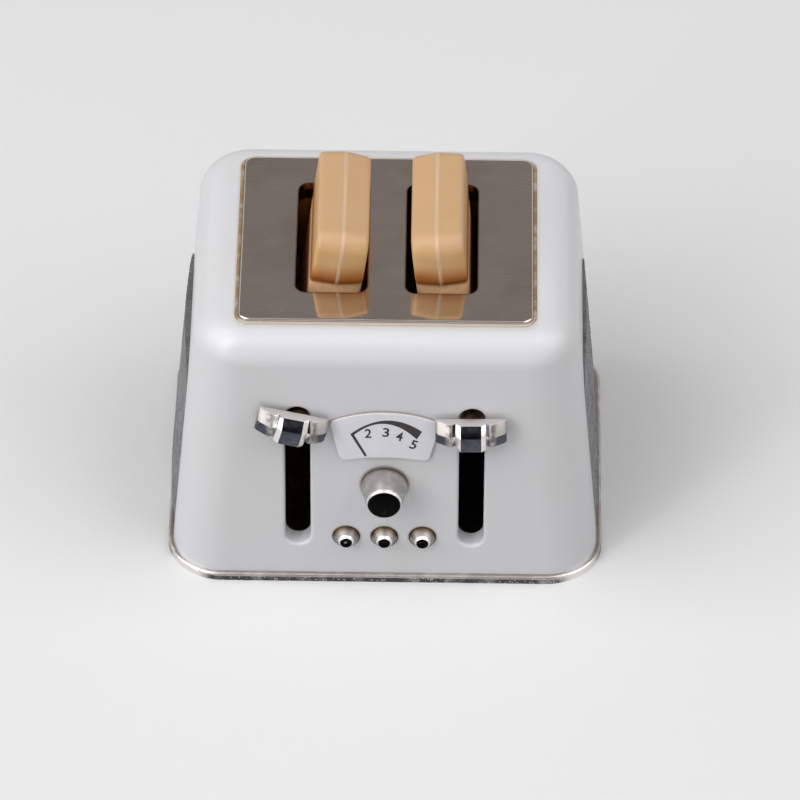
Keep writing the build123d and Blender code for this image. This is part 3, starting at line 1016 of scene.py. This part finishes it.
def opened(mesh: Mesh) -> bmesh.types.BMesh:
    """Form of a mesh, to be changed apart from it.

    Args:
        mesh: Mesh that stays as it is.

    Returns:
        The form.
    """
    form = bmesh.new()
    form.from_mesh(mesh)
    return form


def merged(node: str, gap: float = 0.0005, flat: float = 0.6) -> bmesh.types.BMesh:
    """Form of a solid with its loose triangles joined and its flat faces whole.

    Args:
        node: Name of the solid.
        gap: Distance up to which corners are one, in millimetres.
        flat: Angle in degrees up to which two faces are one.

    Returns:
        The form.
    """
    form = opened(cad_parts[node].data)
    bmesh.ops.remove_doubles(form, verts=form.verts, dist=gap * MM)
    bmesh.ops.dissolve_limit(form, angle_limit=math.radians(flat), verts=form.verts, edges=form.edges)
    return form


def written(form: bmesh.types.BMesh, name: str) -> Mesh:
    """Writes a form to a new mesh and frees it.

    Args:
        form: Form to write.
        name: Name of the mesh.

    Returns:
        The mesh.
    """
    mesh = bpy.data.meshes.new(name)
    form.to_mesh(mesh)
    form.free()
    return mesh


def baked(thing: Object) -> Mesh:
    """New mesh of an object with its modifiers applied."""
    return bpy.data.meshes.new_from_object(thing.evaluated_get(bpy.context.evaluated_depsgraph_get()))


def modified(mesh: Mesh, *steps: tuple[str, Mapping[str, object]]) -> Mesh:
    """Runs modifiers over a mesh.

    Args:
        mesh: Mesh to start from, which is removed.
        steps: Modifier types with their settings or node inputs, in order.

    Returns:
        A new mesh.
    """
    carrier = linked("carrier", mesh)
    for kind, settings in steps:
        step = carrier.modifiers.new(kind, kind)
        for name, setting in settings.items():
            if hasattr(step, name):
                setattr(step, name, setting)
            else:
                step[name] = setting
    result = baked(carrier)
    bpy.data.objects.remove(carrier)
    bpy.data.meshes.remove(mesh)
    return result


def softened(node: str, width: float, hard: float = 30.0, sharp: float = 50.0) -> Mesh:
    """Copy of a solid whose hard edges are rounded off.

    Args:
        node: Name of the solid.
        width: Width of the rounding in millimetres.
        hard: Angle in degrees from which an edge is rounded.
        sharp: Angle in degrees from which an edge that is left is shaded sharp.

    Returns:
        A new mesh.
    """
    bevel = {"width": width * MM, "segments": 3, "limit_method": "ANGLE", "angle_limit": math.radians(hard)}
    mesh = modified(written(merged(node), node), ("BEVEL", bevel))
    mesh.shade_smooth()
    mesh.set_sharp_from_angle(angle=math.radians(sharp))
    return mesh


def trimmed(node: str, cuts: Sequence[Plane], rows: Sequence[Plane] = ()) -> Mesh:
    """Part of a solid, closed where it was cut and crossed with rows of edges.

    Args:
        node: Name of the solid.
        cuts: Planes, each a point and a normal in metres; what lies behind goes.
        rows: Planes where a row of edges is added.

    Returns:
        A new mesh.
    """
    form = merged(node)
    for point, normal in (*cuts, *rows):
        both = {"plane_co": point, "plane_no": normal, "clear_inner": (point, normal) in cuts}
        bmesh.ops.bisect_plane(form, geom=[*form.verts, *form.edges, *form.faces], dist=1e-9, **both)
        bmesh.ops.holes_fill(form, edges=[edge for edge in form.edges if edge.is_boundary])
    bmesh.ops.recalc_face_normals(form, faces=form.faces)
    return written(form, node + "_part")


# ---------------------------------------- geometry nodes
class Recipe(Graph):
    """Geometry nodes from named inputs to a mesh with one finish."""

    name = "recipe"
    inputs: Mapping[str, str] = {}

    def __init__(self) -> None:
        """Builds the tree: its interface, its body and its finish."""
        super().__init__(bpy.data.node_groups.new(self.name, "GeometryNodeTree"))
        face = self.tree.interface
        face.new_socket("Geometry", in_out="OUTPUT", socket_type="NodeSocketGeometry")
        for label, kind in {"Geometry": "Geometry", **self.inputs, "Finish": "Material"}.items():
            face.new_socket(label, in_out="INPUT", socket_type="NodeSocket" + kind)
        start = self.node("NodeGroupInput").outputs
        real = self.node("GeometryNodeRealizeInstances", {0: self.body(start)}).outputs[0]
        dressed = self.node("GeometryNodeSetMaterial", {"Geometry": real, "Material": start["Finish"]})
        self.node("NodeGroupOutput", {0: dressed.outputs[0]})

    def body(self, start: bpy.types.NodeOutputs) -> NodeSocket:
        """Nodes between the inputs and the finish.

        Args:
            start: Sockets of the named inputs.

        Returns:
            The socket of the geometry that they make.
        """
        raise NotImplementedError

    def applied(self, mesh: Mesh, **values: object) -> Mesh:
        """Runs the tree over a mesh.

        Args:
            mesh: Mesh that goes in, and is removed.
            values: Inputs by name.

        Returns:
            The mesh that comes out.
        """
        items = self.tree.interface.items_tree
        keys = {item.name: item.identifier for item in items if item.in_out == "INPUT"}
        inputs = {keys[name]: value for name, value in values.items()}
        return modified(mesh, ("NODES", {"node_group": self.tree, **inputs}))


class Bead(Recipe):
    """Round bead swept along a mesh path."""

    name = "seam_bead"
    inputs = {"Radius": "Float", "Points": "Int"}
    sides = 10

    def body(self, start: bpy.types.NodeOutputs) -> NodeSocket:
        """Path to curve, evened out and swept with a ring.

        Args:
            start: Sockets of the named inputs.

        Returns:
            The socket of the bead.
        """
        curve = self.node("GeometryNodeMeshToCurve", {0: start["Geometry"]}).outputs[0]
        even = self.node("GeometryNodeResampleCurve", {"Curve": curve, "Count": start["Points"]})
        round_form = {"Resolution": self.sides, "Radius": start["Radius"]}
        ring = self.node("GeometryNodeCurvePrimitiveCircle", round_form)
        sweep = {"Curve": even.outputs[0], "Profile Curve": ring.outputs["Curve"]}
        return self.node("GeometryNodeCurveToMesh", sweep).outputs[0]


class Strew(Recipe):
    """Small grains of uneven size strewn over a skin, half sunk in it."""

    name = "cast_grains"
    inputs = {"Density": "Float", "Size": "Float", "Seed": "Int"}
    turn = 6.28
    least = (0.5, 0.5, 0.3)
    most = (1.6, 1.6, 0.9)

    def body(self, start: bpy.types.NodeOutputs) -> NodeSocket:
        """Points on the faces, each with a turned and scaled grain.

        Args:
            start: Sockets of the named inputs.

        Returns:
            The socket of the grains.
        """
        where = {"Mesh": start["Geometry"], "Density": start["Density"], "Seed": start["Seed"]}
        points = self.node("GeometryNodeDistributePointsOnFaces", where, distribute_method="RANDOM")
        grain = self.node("GeometryNodeMeshIcoSphere", {"Radius": start["Size"], "Subdivisions": 1})
        placed = {"Points": points.outputs["Points"], "Instance": grain.outputs["Mesh"]}
        for key, low, high in (("Rotation", (0.0,) * 3, (self.turn,) * 3), ("Scale", self.least, self.most)):
            limits = {0: low, 1: high, "Seed": start["Seed"]}
            placed[key] = self.node("FunctionNodeRandomValue", limits, data_type="FLOAT_VECTOR").outputs[0]
        return self.node("GeometryNodeInstanceOnPoints", placed).outputs[0]


# ---------------------------------------- sub-assemblies
@dataclass
class Casing:
    """Shell, tray, side panels with their sparkle, guides and screws."""

    forms: Forms
    grain_density: float = 9.0
    grain_size: float = 0.035
    grain_seed: int = 4
    least_outward: float = 0.9
    wall_play: float = 0.2

    def build(self) -> None:
        """Dresses the fixed solids of the casing."""
        dress(Enamel(self.forms).material(), "body_shell")
        dress(DarkSteel("guide_steel").material(), "right_bread_guide", "button_guide_bar")
        # painted reflection: a lighter, browner copy of the guide steel for the left guide, for the toast
        # mirrored in it
        left_guide_reflection = DarkSteel("left_guide_reflection_steel", (0.09, 0.036, 0.014), (0.55, 0.21, 0.07))
        dress(left_guide_reflection.material(), "left_bread_guide")
        dress(SpringSteel().material(), "base_screws", "bar_screws")
        cast = CastMetal().material()
        for side in Side:
            dress(cast, side.label + "_side_panel")
            self.grains(side, cast)
        dress(TrayChrome(self.forms.tray_thickness).material(), "base_tray")

    def grains(self, side: Side, cast: Material) -> None:
        """Strews grains of the casting over the outside of a panel.

        Args:
            side: Which panel.
            cast: Finish of the panels.
        """
        form = opened(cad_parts[side.label + "_side_panel"].data)
        inner = [face for face in form.faces if self.hidden(face, side)]
        bmesh.ops.delete(form, geom=inner, context="FACES")
        values = {"Density": self.grain_density / MM**2, "Size": self.grain_size * MM, "Seed": self.grain_seed}
        strewn = Strew().applied(written(form, "panel_skin"), Finish=cast, **values)
        for v in strewn.vertices:
            v.co.x = min(max(v.co.x, SOLID_BOX[0][0]), SOLID_BOX[1][0])
        piece = new_piece(side.label + "_panel_grain", strewn, cast)
        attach(piece, "casing")

    def hidden(self, face: bmesh.types.BMFace, side: Side) -> bool:
        """Whether a face of a panel looks away from the outside or lies within the wall.

        Args:
            face: Face of the panel.
            side: Which panel.

        Returns:
            True where it bears no grains.
        """
        shell, middle = self.forms.shell, face.calc_center_median() / MM
        rise = (middle.z - shell.face.foot) * math.tan(math.radians(shell.side_lean))
        within = middle.x * side.value < shell.half[0] - rise - self.wall_play
        return within or face.normal.x * side.value < self.least_outward


@dataclass
class MirrorPlate:
    """Top plate with its two bread slots, and a bead in the joint round it, coloured for dirt and painted
    shade.
    """

    forms: Forms
    seal_radius: float = 0.13
    seal_gap: float = 0.11
    seal_sink: float = 0.06
    seal_points: int = 240
    corner_steps: int = 8

    def build(self) -> None:
        """Dresses the plate and runs a bead round it, coloured for dirt and painted shade."""
        plate = self.forms.plate
        dress(MirrorSteel(plate).material(), "top_plate")
        # bead coloured for the joint's dirt and painted shade
        dirt_and_shade = JointDirtAndShade(plate).material()
        sizes = {"Radius": self.seal_radius * MM, "Points": self.seal_points}
        bead = Bead().applied(self.joint(), Finish=dirt_and_shade, **sizes)
        bead.shade_smooth()
        seal = new_piece("plate_joint_dirt_and_shade", bead, dirt_and_shade)
        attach(seal, "casing")

    def joint(self) -> Mesh:
        """Closed path along the joint, just under the shell's top.

        Returns:
            A mesh of edges.
        """
        plate, level = self.forms.plate, self.forms.shell.top - self.seal_sink
        points = []
        for quarter, corner in enumerate(((1, 1), (-1, 1), (-1, -1), (1, -1))):
            middle = Vector(sign * (half - plate.radius) for sign, half in zip(corner, plate.half))
            for step in range(self.corner_steps + 1):
                turn = math.radians(90 * (quarter + step / self.corner_steps))
                x, y = middle + Vector((math.cos(turn), math.sin(turn))) * (plate.radius + self.seal_gap)
                points.append(Vector((x, y, level)) * MM)
        mesh = bpy.data.meshes.new("joint_path")
        mesh.from_pydata(points, [(i, (i + 1) % len(points)) for i in range(len(points))], [])
        return mesh


@dataclass
class Dial:
    """Dial plate and its print: a wedge that grows, a pointer that tapers and numbers."""

    forms: Forms
    thickness: float = 0.22
    ink_lift: float = 0.006
    wedge_outer: tuple[tuple[float, float], ...] = ((-2.16, 12.08), (-0.3, 13.17), (2.4, 12.31))
    wedge_inner: tuple[tuple[float, float], ...] = ((-2.08, 11.86), (-0.36, 12.93), (2.05, 11.66))
    wedge_steps: int = 48
    pointer: tuple[tuple[float, float], ...] = ((-2.11, 12.08), (-1.2, 10.2))
    pointer_width: float = 0.2
    pointer_taper: float = 0.8
    digits: tuple[tuple[str, float, float, float], ...] = (
        ("2", -1.06, 12.12, 0.0),
        ("3", 0.08, 12.22, -4.0),
        ("4", 0.95, 11.9, -12.0),
        ("5", 1.86, 11.22, -20.0),
    )
    digit_size: tuple[float, float] = (0.43, 0.76)
    digit_weight: float = 0.02

    def build(self) -> None:
        """Dresses the plate and prints it."""
        dress(DialWhite(self.forms.shell.face, self.thickness).material(), "dial_plate")
        ink = PrintInk().material()
        prints = {"dial_wedge": self.wedge(), "dial_pointer": self.needle()}
        prints |= {"dial_number_" + digit: self.number(digit, *place) for digit, *place in self.digits}
        for name, mesh in prints.items():
            piece = new_piece(name, mesh, ink)
            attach(piece, "casing")

    def printed(self, name: str, points: Sequence[Sequence[float]], faces: Sequence[Sequence[int]]) -> Mesh:
        """Mesh just above the dial plate.

        Args:
            name: Name of the mesh.
            points: Places aside and up the face.
            faces: Its faces.

        Returns:
            The mesh, in metres.
        """
        level = self.thickness + self.ink_lift
        mesh = bpy.data.meshes.new(name)
        mesh.from_pydata([self.forms.shell.face.point(x, up, level) * MM for x, up in points], [], faces)
        return mesh

    def arc(self, ends: Sequence[tuple[float, float]]) -> list[tuple[float, float]]:
        """Points of the parabola through three points.

        Args:
            ends: Its two ends, with the third point between them.

        Returns:
            The points, evenly spaced sideways.
        """
        (first, _), _, (last, _) = ends
        points = []
        for step in range(self.wedge_steps + 1):
            x = first + (last - first) * step / self.wedge_steps
            shares = [math.prod((x - b) / (a - b) for b, _ in ends if b != a) for a, _ in ends]
            points.append((x, sum(share * up for share, (_, up) in zip(shares, ends))))
        return points

    def wedge(self) -> Mesh:
        """Mesh of the wedge between its two arcs.

        Returns:
            The mesh, in metres.
        """
        count = self.wedge_steps + 1
        faces = [(i, count + i, count + i + 1, i + 1) for i in range(self.wedge_steps)]
        return self.printed("wedge", self.arc(self.wedge_outer) + self.arc(self.wedge_inner), faces)

    def needle(self) -> Mesh:
        """Mesh of the pointer line.

        Returns:
            The mesh, in metres.
        """
        start, end = (Vector(point) for point in self.pointer)
        side = (end - start).orthogonal().normalized() * self.pointer_width / 2
        tip = side * self.pointer_taper
        return self.printed("needle", [start - side, start + side, end + tip, end - tip], [(3, 2, 1, 0)])

    def number(self, digit: str, x: float, up: float, turn: float) -> Mesh:
        """Mesh of one number.

        Args:
            digit: What it says.
            x: Sideways place of its middle.
            up: Height of its middle on the face.
            turn: Turn in degrees, anticlockwise.

        Returns:
            Its mesh, in metres.
        """
        text = bpy.data.curves.new("digit", "FONT")
        text.body = digit
        text.align_x = text.align_y = "CENTER"
        text.offset = self.digit_weight
        carrier = linked("digit", text)
        mesh = baked(carrier)
        bpy.data.objects.remove(carrier)
        low, high = (Vector(end(v.co[i] for v in mesh.vertices) for i in range(3)) for end in (min, max))
        width, height = self.digit_size
        fit = Matrix.Diagonal((width / (high.x - low.x), height / (high.y - low.y), 1, 1))
        level = Matrix.Translation((x, up, self.thickness + self.ink_lift))
        spin = Matrix.Rotation(math.radians(turn), 4, "Z")
        place = level @ spin @ fit @ Matrix.Translation(-(low + high) / 2)
        mesh.transform(Matrix.Scale(MM, 4) @ self.forms.shell.face.matrix() @ place)
        return mesh


@dataclass
class Controls:
    """Timer knob, the three push buttons and the leaf spring behind them."""

    forms: Forms
    knob_levels: tuple[float, float] = (0.35, 1.76)
    knob_cap: float = 1.0
    knob_round: float = 0.05
    button_levels: tuple[float, float] = (0.42, 0.56)
    button_cap: float = 0.37
    button_round: float = 0.03
    buttons: tuple[str, ...] = ("left_button", "middle_button", "right_button")
    finger_root: float = 1.099
    finger_tip: float = -0.6
    finger_bend: float = 0.45
    finger_rows: int = 9

    def build(self) -> None:
        """Dresses the washer and shows turned knob, turned buttons and a spring cut into a strap and fingers.
        """
        controls = self.forms.controls
        steel = SpringSteel().material()
        dress(steel, "knob_retainer")
        self.leaf(steel)
        knob = TurnedChrome("knob_chrome", controls.knob, *self.knob_levels, self.knob_cap).material()
        turned = softened("timer_knob", self.knob_round)
        stand_in("timer_knob_turned", "timer_knob", "timer_knob_body", turned, knob)
        satin = {"flank": (0.35, 0.325, 0.295), "glint": (0.45, 0.46, 0.52)}
        button = TurnedChrome("button_chrome", controls.button, *self.button_levels, self.button_cap, **satin)
        button = button.material()
        for node in self.buttons:
            stand_in(node + "_turned", node, node + "_body", softened(node, self.button_round), button)

    def leaf(self, steel: Material) -> None:
        """Leaf spring: its strap stays with the casing, and a finger is cut out beside each button, crossed
        with rows of edges.

        Args:
            steel: Finish of the spring.
        """
        node = "button_leaf_spring"
        controls = self.forms.controls
        up, across = controls.face.matrix().col[1].xyz, Vector((1, 0, 0))

        def spot(number: float, rise: float) -> Vector:
            """Point of the face beside a button, in metres."""
            return controls.face.point(number * controls.button_spacing, controls.button_up + rise) * MM

        root = spot(0, self.finger_root)
        stand_in("leaf_strap", node, "casing", trimmed(node, [(root, up)]), steel)
        fall = (self.finger_root - self.finger_tip) / self.finger_rows
        rows = [(spot(0, self.finger_root - fall * row), up) for row in range(1, self.finger_rows)]
        for number, button in enumerate(self.buttons, -1):
            cuts = [(root, -up), (spot(number - 0.5, 0), across), (spot(number + 0.5, 0), -across)]
            name = button.removesuffix("button") + "leaf_finger"
            finger = new_piece(name, trimmed(node, cuts, rows), steel)
            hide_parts(node)
            bend = {"start": spot(number, self.finger_root), "end": spot(number, self.finger_bend)}
            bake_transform(finger)


@dataclass
class Levers:
    """Winged lever handles and the sliders behind the face."""

    edge_round: float = 0.12
    hard_edge: float = 15.0

    def build(self) -> None:
        """Dresses both levers."""
        dark = DarkSteel("slider_steel").material()
        boxes = [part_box(side.label + "_lever_handle") for side in Side]
        shine = HandleChrome([(low[0] + high[0]) / 2 / MM for low, high in boxes]).material()
        for side in Side:
            dress(dark, side.label + "_lever_slider")
            node = side.label + "_lever_handle"
            cast = softened(node, self.edge_round, self.hard_edge)
            stand_in(node + "_cast", node, side.label + "_lever", cast, shine)


@dataclass
class Bread:
    """The two moulded slices, with a mould seam round each, and their cradles."""

    forms: Forms
    voxel: float = 0.13
    melt_share: float = 0.5
    melt_steps: int = 5
    seam_radius: float = 0.10
    seam_sink: float = 0.098
    seam_points: int = 220

    def build(self) -> None:
        """Dresses slices and cradles."""
        dark = DarkSteel("cradle_steel").material()
        wax = ToastWax(self.forms.slices).material()
        for side in Side:
            dress(dark, side.label + "_bread_cradle")
            mesh = self.moulded(side)
            seam = new_piece(side.label + "_toast_seam", self.seam(side, mesh, wax), wax)
            node = side.label + "_toast"
            stand_in(node + "_moulded", node, side.label + "_slice", mesh, wax)
            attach(seam, side.label + "_slice")

    def moulded(self, side: Side) -> Mesh:
        """Slice with its edges melted round.

        Args:
            side: Which slice.

        Returns:
            Its mesh.
        """
        voxels = {"mode": "VOXEL", "voxel_size": self.voxel * MM, "use_smooth_shade": True}
        melt = {"factor": self.melt_share, "iterations": self.melt_steps}
        node = side.label + "_toast"
        mesh = modified(written(merged(node), node), ("REMESH", voxels), ("SMOOTH", melt))
        mesh.shade_smooth()
        return mesh

    def seam(self, side: Side, mesh: Mesh, wax: Material) -> Mesh:
        """Low ridge where the two halves of the mould met.

        Args:
            side: Which slice.
            mesh: The slice's mesh.
            wax: The slice's material.

        Returns:
            Mesh of the ridge.
        """
        place = self.forms.slices.frame(side)
        form = opened(mesh)
        plane = {"plane_co": place.translation, "plane_no": place.to_3x3() @ Vector((1, 0, 0))}
        everything = form.verts[:] + form.edges[:] + form.faces[:]
        bmesh.ops.bisect_plane(form, geom=everything, clear_inner=True, clear_outer=True, **plane)
        middle = sum((v.co for v in form.verts), Vector()) / len(form.verts)
        for v in form.verts:
            v.co += (middle - v.co).normalized() * self.seam_sink * MM
        sizes = {"Radius": self.seam_radius * MM, "Points": self.seam_points}
        bead = Bead().applied(written(form, "seam_path"), Finish=wax, **sizes)
        bead.shade_smooth()
        return bead


# ---------------------------------------- studio
@dataclass
class Studio:
    """Pale floor, soft lamps, surroundings and camera.

    A lamp has a name, a place and a size in millimetres, and a power in watts.
    """

    azimuth: float = 0.6
    elevation: float = 43.5
    roll: float = 0.3
    distance: float = 441.0
    pixels_per_mm: float = 15.288
    middle: tuple[float, float, float] = (0.0, 0.0, 9.85)
    middle_at: tuple[float, float] = (387.1, 353.8)
    frame_pixels: float = 800.0
    sensor: float = 36.0
    floor_radius: float = 4000.0
    floor_sides: int = 96
    floor_shown: Colour = (0.84, 0.84, 0.84)
    floor_bounce: Colour = (0.44, 0.44, 0.44)
    ambient: float = 0.12
    backdrop: Colour = (0.9, 0.9, 0.9)
    walls: Colour = (0.72, 0.71, 0.70)
    ceiling: Colour = (0.26, 0.24, 0.225)
    dark_end: Colour = (0.025, 0.025, 0.03)
    lamps: tuple[tuple[str, tuple[float, float, float], tuple[float, float], float], ...] = (
        ("softbox_left", (-360, -150, 400), (560, 640), 2.2),
        ("softbox_right", (320, -80, 410), (400, 560), 1.22),
        ("softbox_front", (-60, -210, 450), (620, 440), 0.42),
        ("strip_left", (-350, -335, 250), (90, 600), 0.46),
        ("strip_right", (310, -370, 230), (40, 300), 0.07),
    )

    def build(self) -> None:
        """Sets up everything round the object."""
        self.floor()
        self.surroundings()
        for name, place, size, power in self.lamps:
            self.lamp(name, Vector(place), size, power)
        self.camera()
        bpy.context.scene.view_settings.view_transform = "Standard"

    def floor(self) -> None:
        """Wide pale floor under the object."""
        s = Surface("studio_floor")
        shade = s.mix(s.shown(), self.floor_bounce, self.floor_shown)
        material = s.finish(Base_Color=shade, Roughness=0.75 + s.noise(0.01, 1.0) * 0.1)
        form = bmesh.new()
        bmesh.ops.create_circle(form, cap_ends=True, segments=self.floor_sides, radius=self.floor_radius * MM)
        new_piece("studio_floor", written(form, "studio_floor"), material)

    def surroundings(self) -> None:
        """World: even light, a pale background and a darker ceiling for metal to mirror."""
        world = bpy.data.worlds.new("studio")
        bpy.context.scene.world = world
        world.use_nodes = True
        g = Graph(world.node_tree)
        _, ahead, up = g.split(g.node("ShaderNodeTexCoord").outputs["Generated"])
        away = (up * 0.69 - ahead * 0.72).rise(0.86, 0.95)
        mirrored = g.coats(self.walls, (up.rise(0.32, 0.55), self.ceiling), (away, self.dark_end))
        seen = g.mix(g.ray("Glossy"), self.backdrop, mirrored)
        plain = g.node("ShaderNodeBackground", {"Color": (1.0, 1.0, 1.0), "Strength": self.ambient})
        pale = g.node("ShaderNodeBackground", {"Color": seen, "Strength": 1.0})
        both = g.node("ShaderNodeMixShader", {0: g.shown(), 1: plain.outputs[0], 2: pale.outputs[0]})
        g.node("ShaderNodeOutputWorld", {"Surface": both.outputs[0]})

    def lamp(self, name: str, place: Vector, size: Sequence[float], power: float) -> None:
        """Adds a softbox aimed at the object.

        Args:
            name: Its name.
            place: Its place in millimetres.
            size: Its width and height in millimetres.
            power: Its power in watts.
        """
        light = bpy.data.lights.new(name, "AREA")
        light.shape = "RECTANGLE"
        light.size, light.size_y = size[0] * MM, size[1] * MM
        light.energy = power
        lamp = linked(name, light)
        lamp.location = place * MM
        lamp.rotation_euler = (Vector(self.middle) - place).to_track_quat("-Z", "Y").to_euler()

    def camera(self) -> None:
        """Long lens at the viewing angle, aimed so that the object lies where it should in the frame."""
        az, el, roll = (math.radians(angle) for angle in (self.azimuth, self.elevation, self.roll))
        back = Vector((math.sin(az) * math.cos(el), -math.cos(az) * math.cos(el), math.sin(el)))
        right = Vector((math.cos(az), math.sin(az), 0.0))
        turn = Matrix.Rotation(roll, 3, back)
        right, up = turn @ right, turn @ back.cross(right)
        half = self.frame_pixels / 2
        aside = (half - self.middle_at[0]) / self.pixels_per_mm
        above = (self.middle_at[1] - half) / self.pixels_per_mm
        place = Vector(self.middle) + back * self.distance + right * aside + up * above
        data = bpy.data.cameras.new("camera")
        data.sensor_width = self.sensor
        data.lens = self.sensor * self.pixels_per_mm * self.distance / self.frame_pixels
        camera = linked("camera", data)
        camera.matrix_world = Matrix.Translation(place * MM) @ Matrix((right, up, back)).transposed().to_4x4()
        bpy.context.scene.camera = camera


def main() -> None:
    """Builds every sub-assembly and the studio, in order."""
    logging.basicConfig(level=logging.INFO, format="%(name)s: %(message)s")
    forms = Forms.measured()
    parts = (Casing(forms), MirrorPlate(forms), Dial(forms), Controls(forms), Levers(), Bread(forms), Studio())
    for part in parts:
        log.info("building %s", type(part).__name__)
        part.build()


if __name__ == "__main__":
    main()
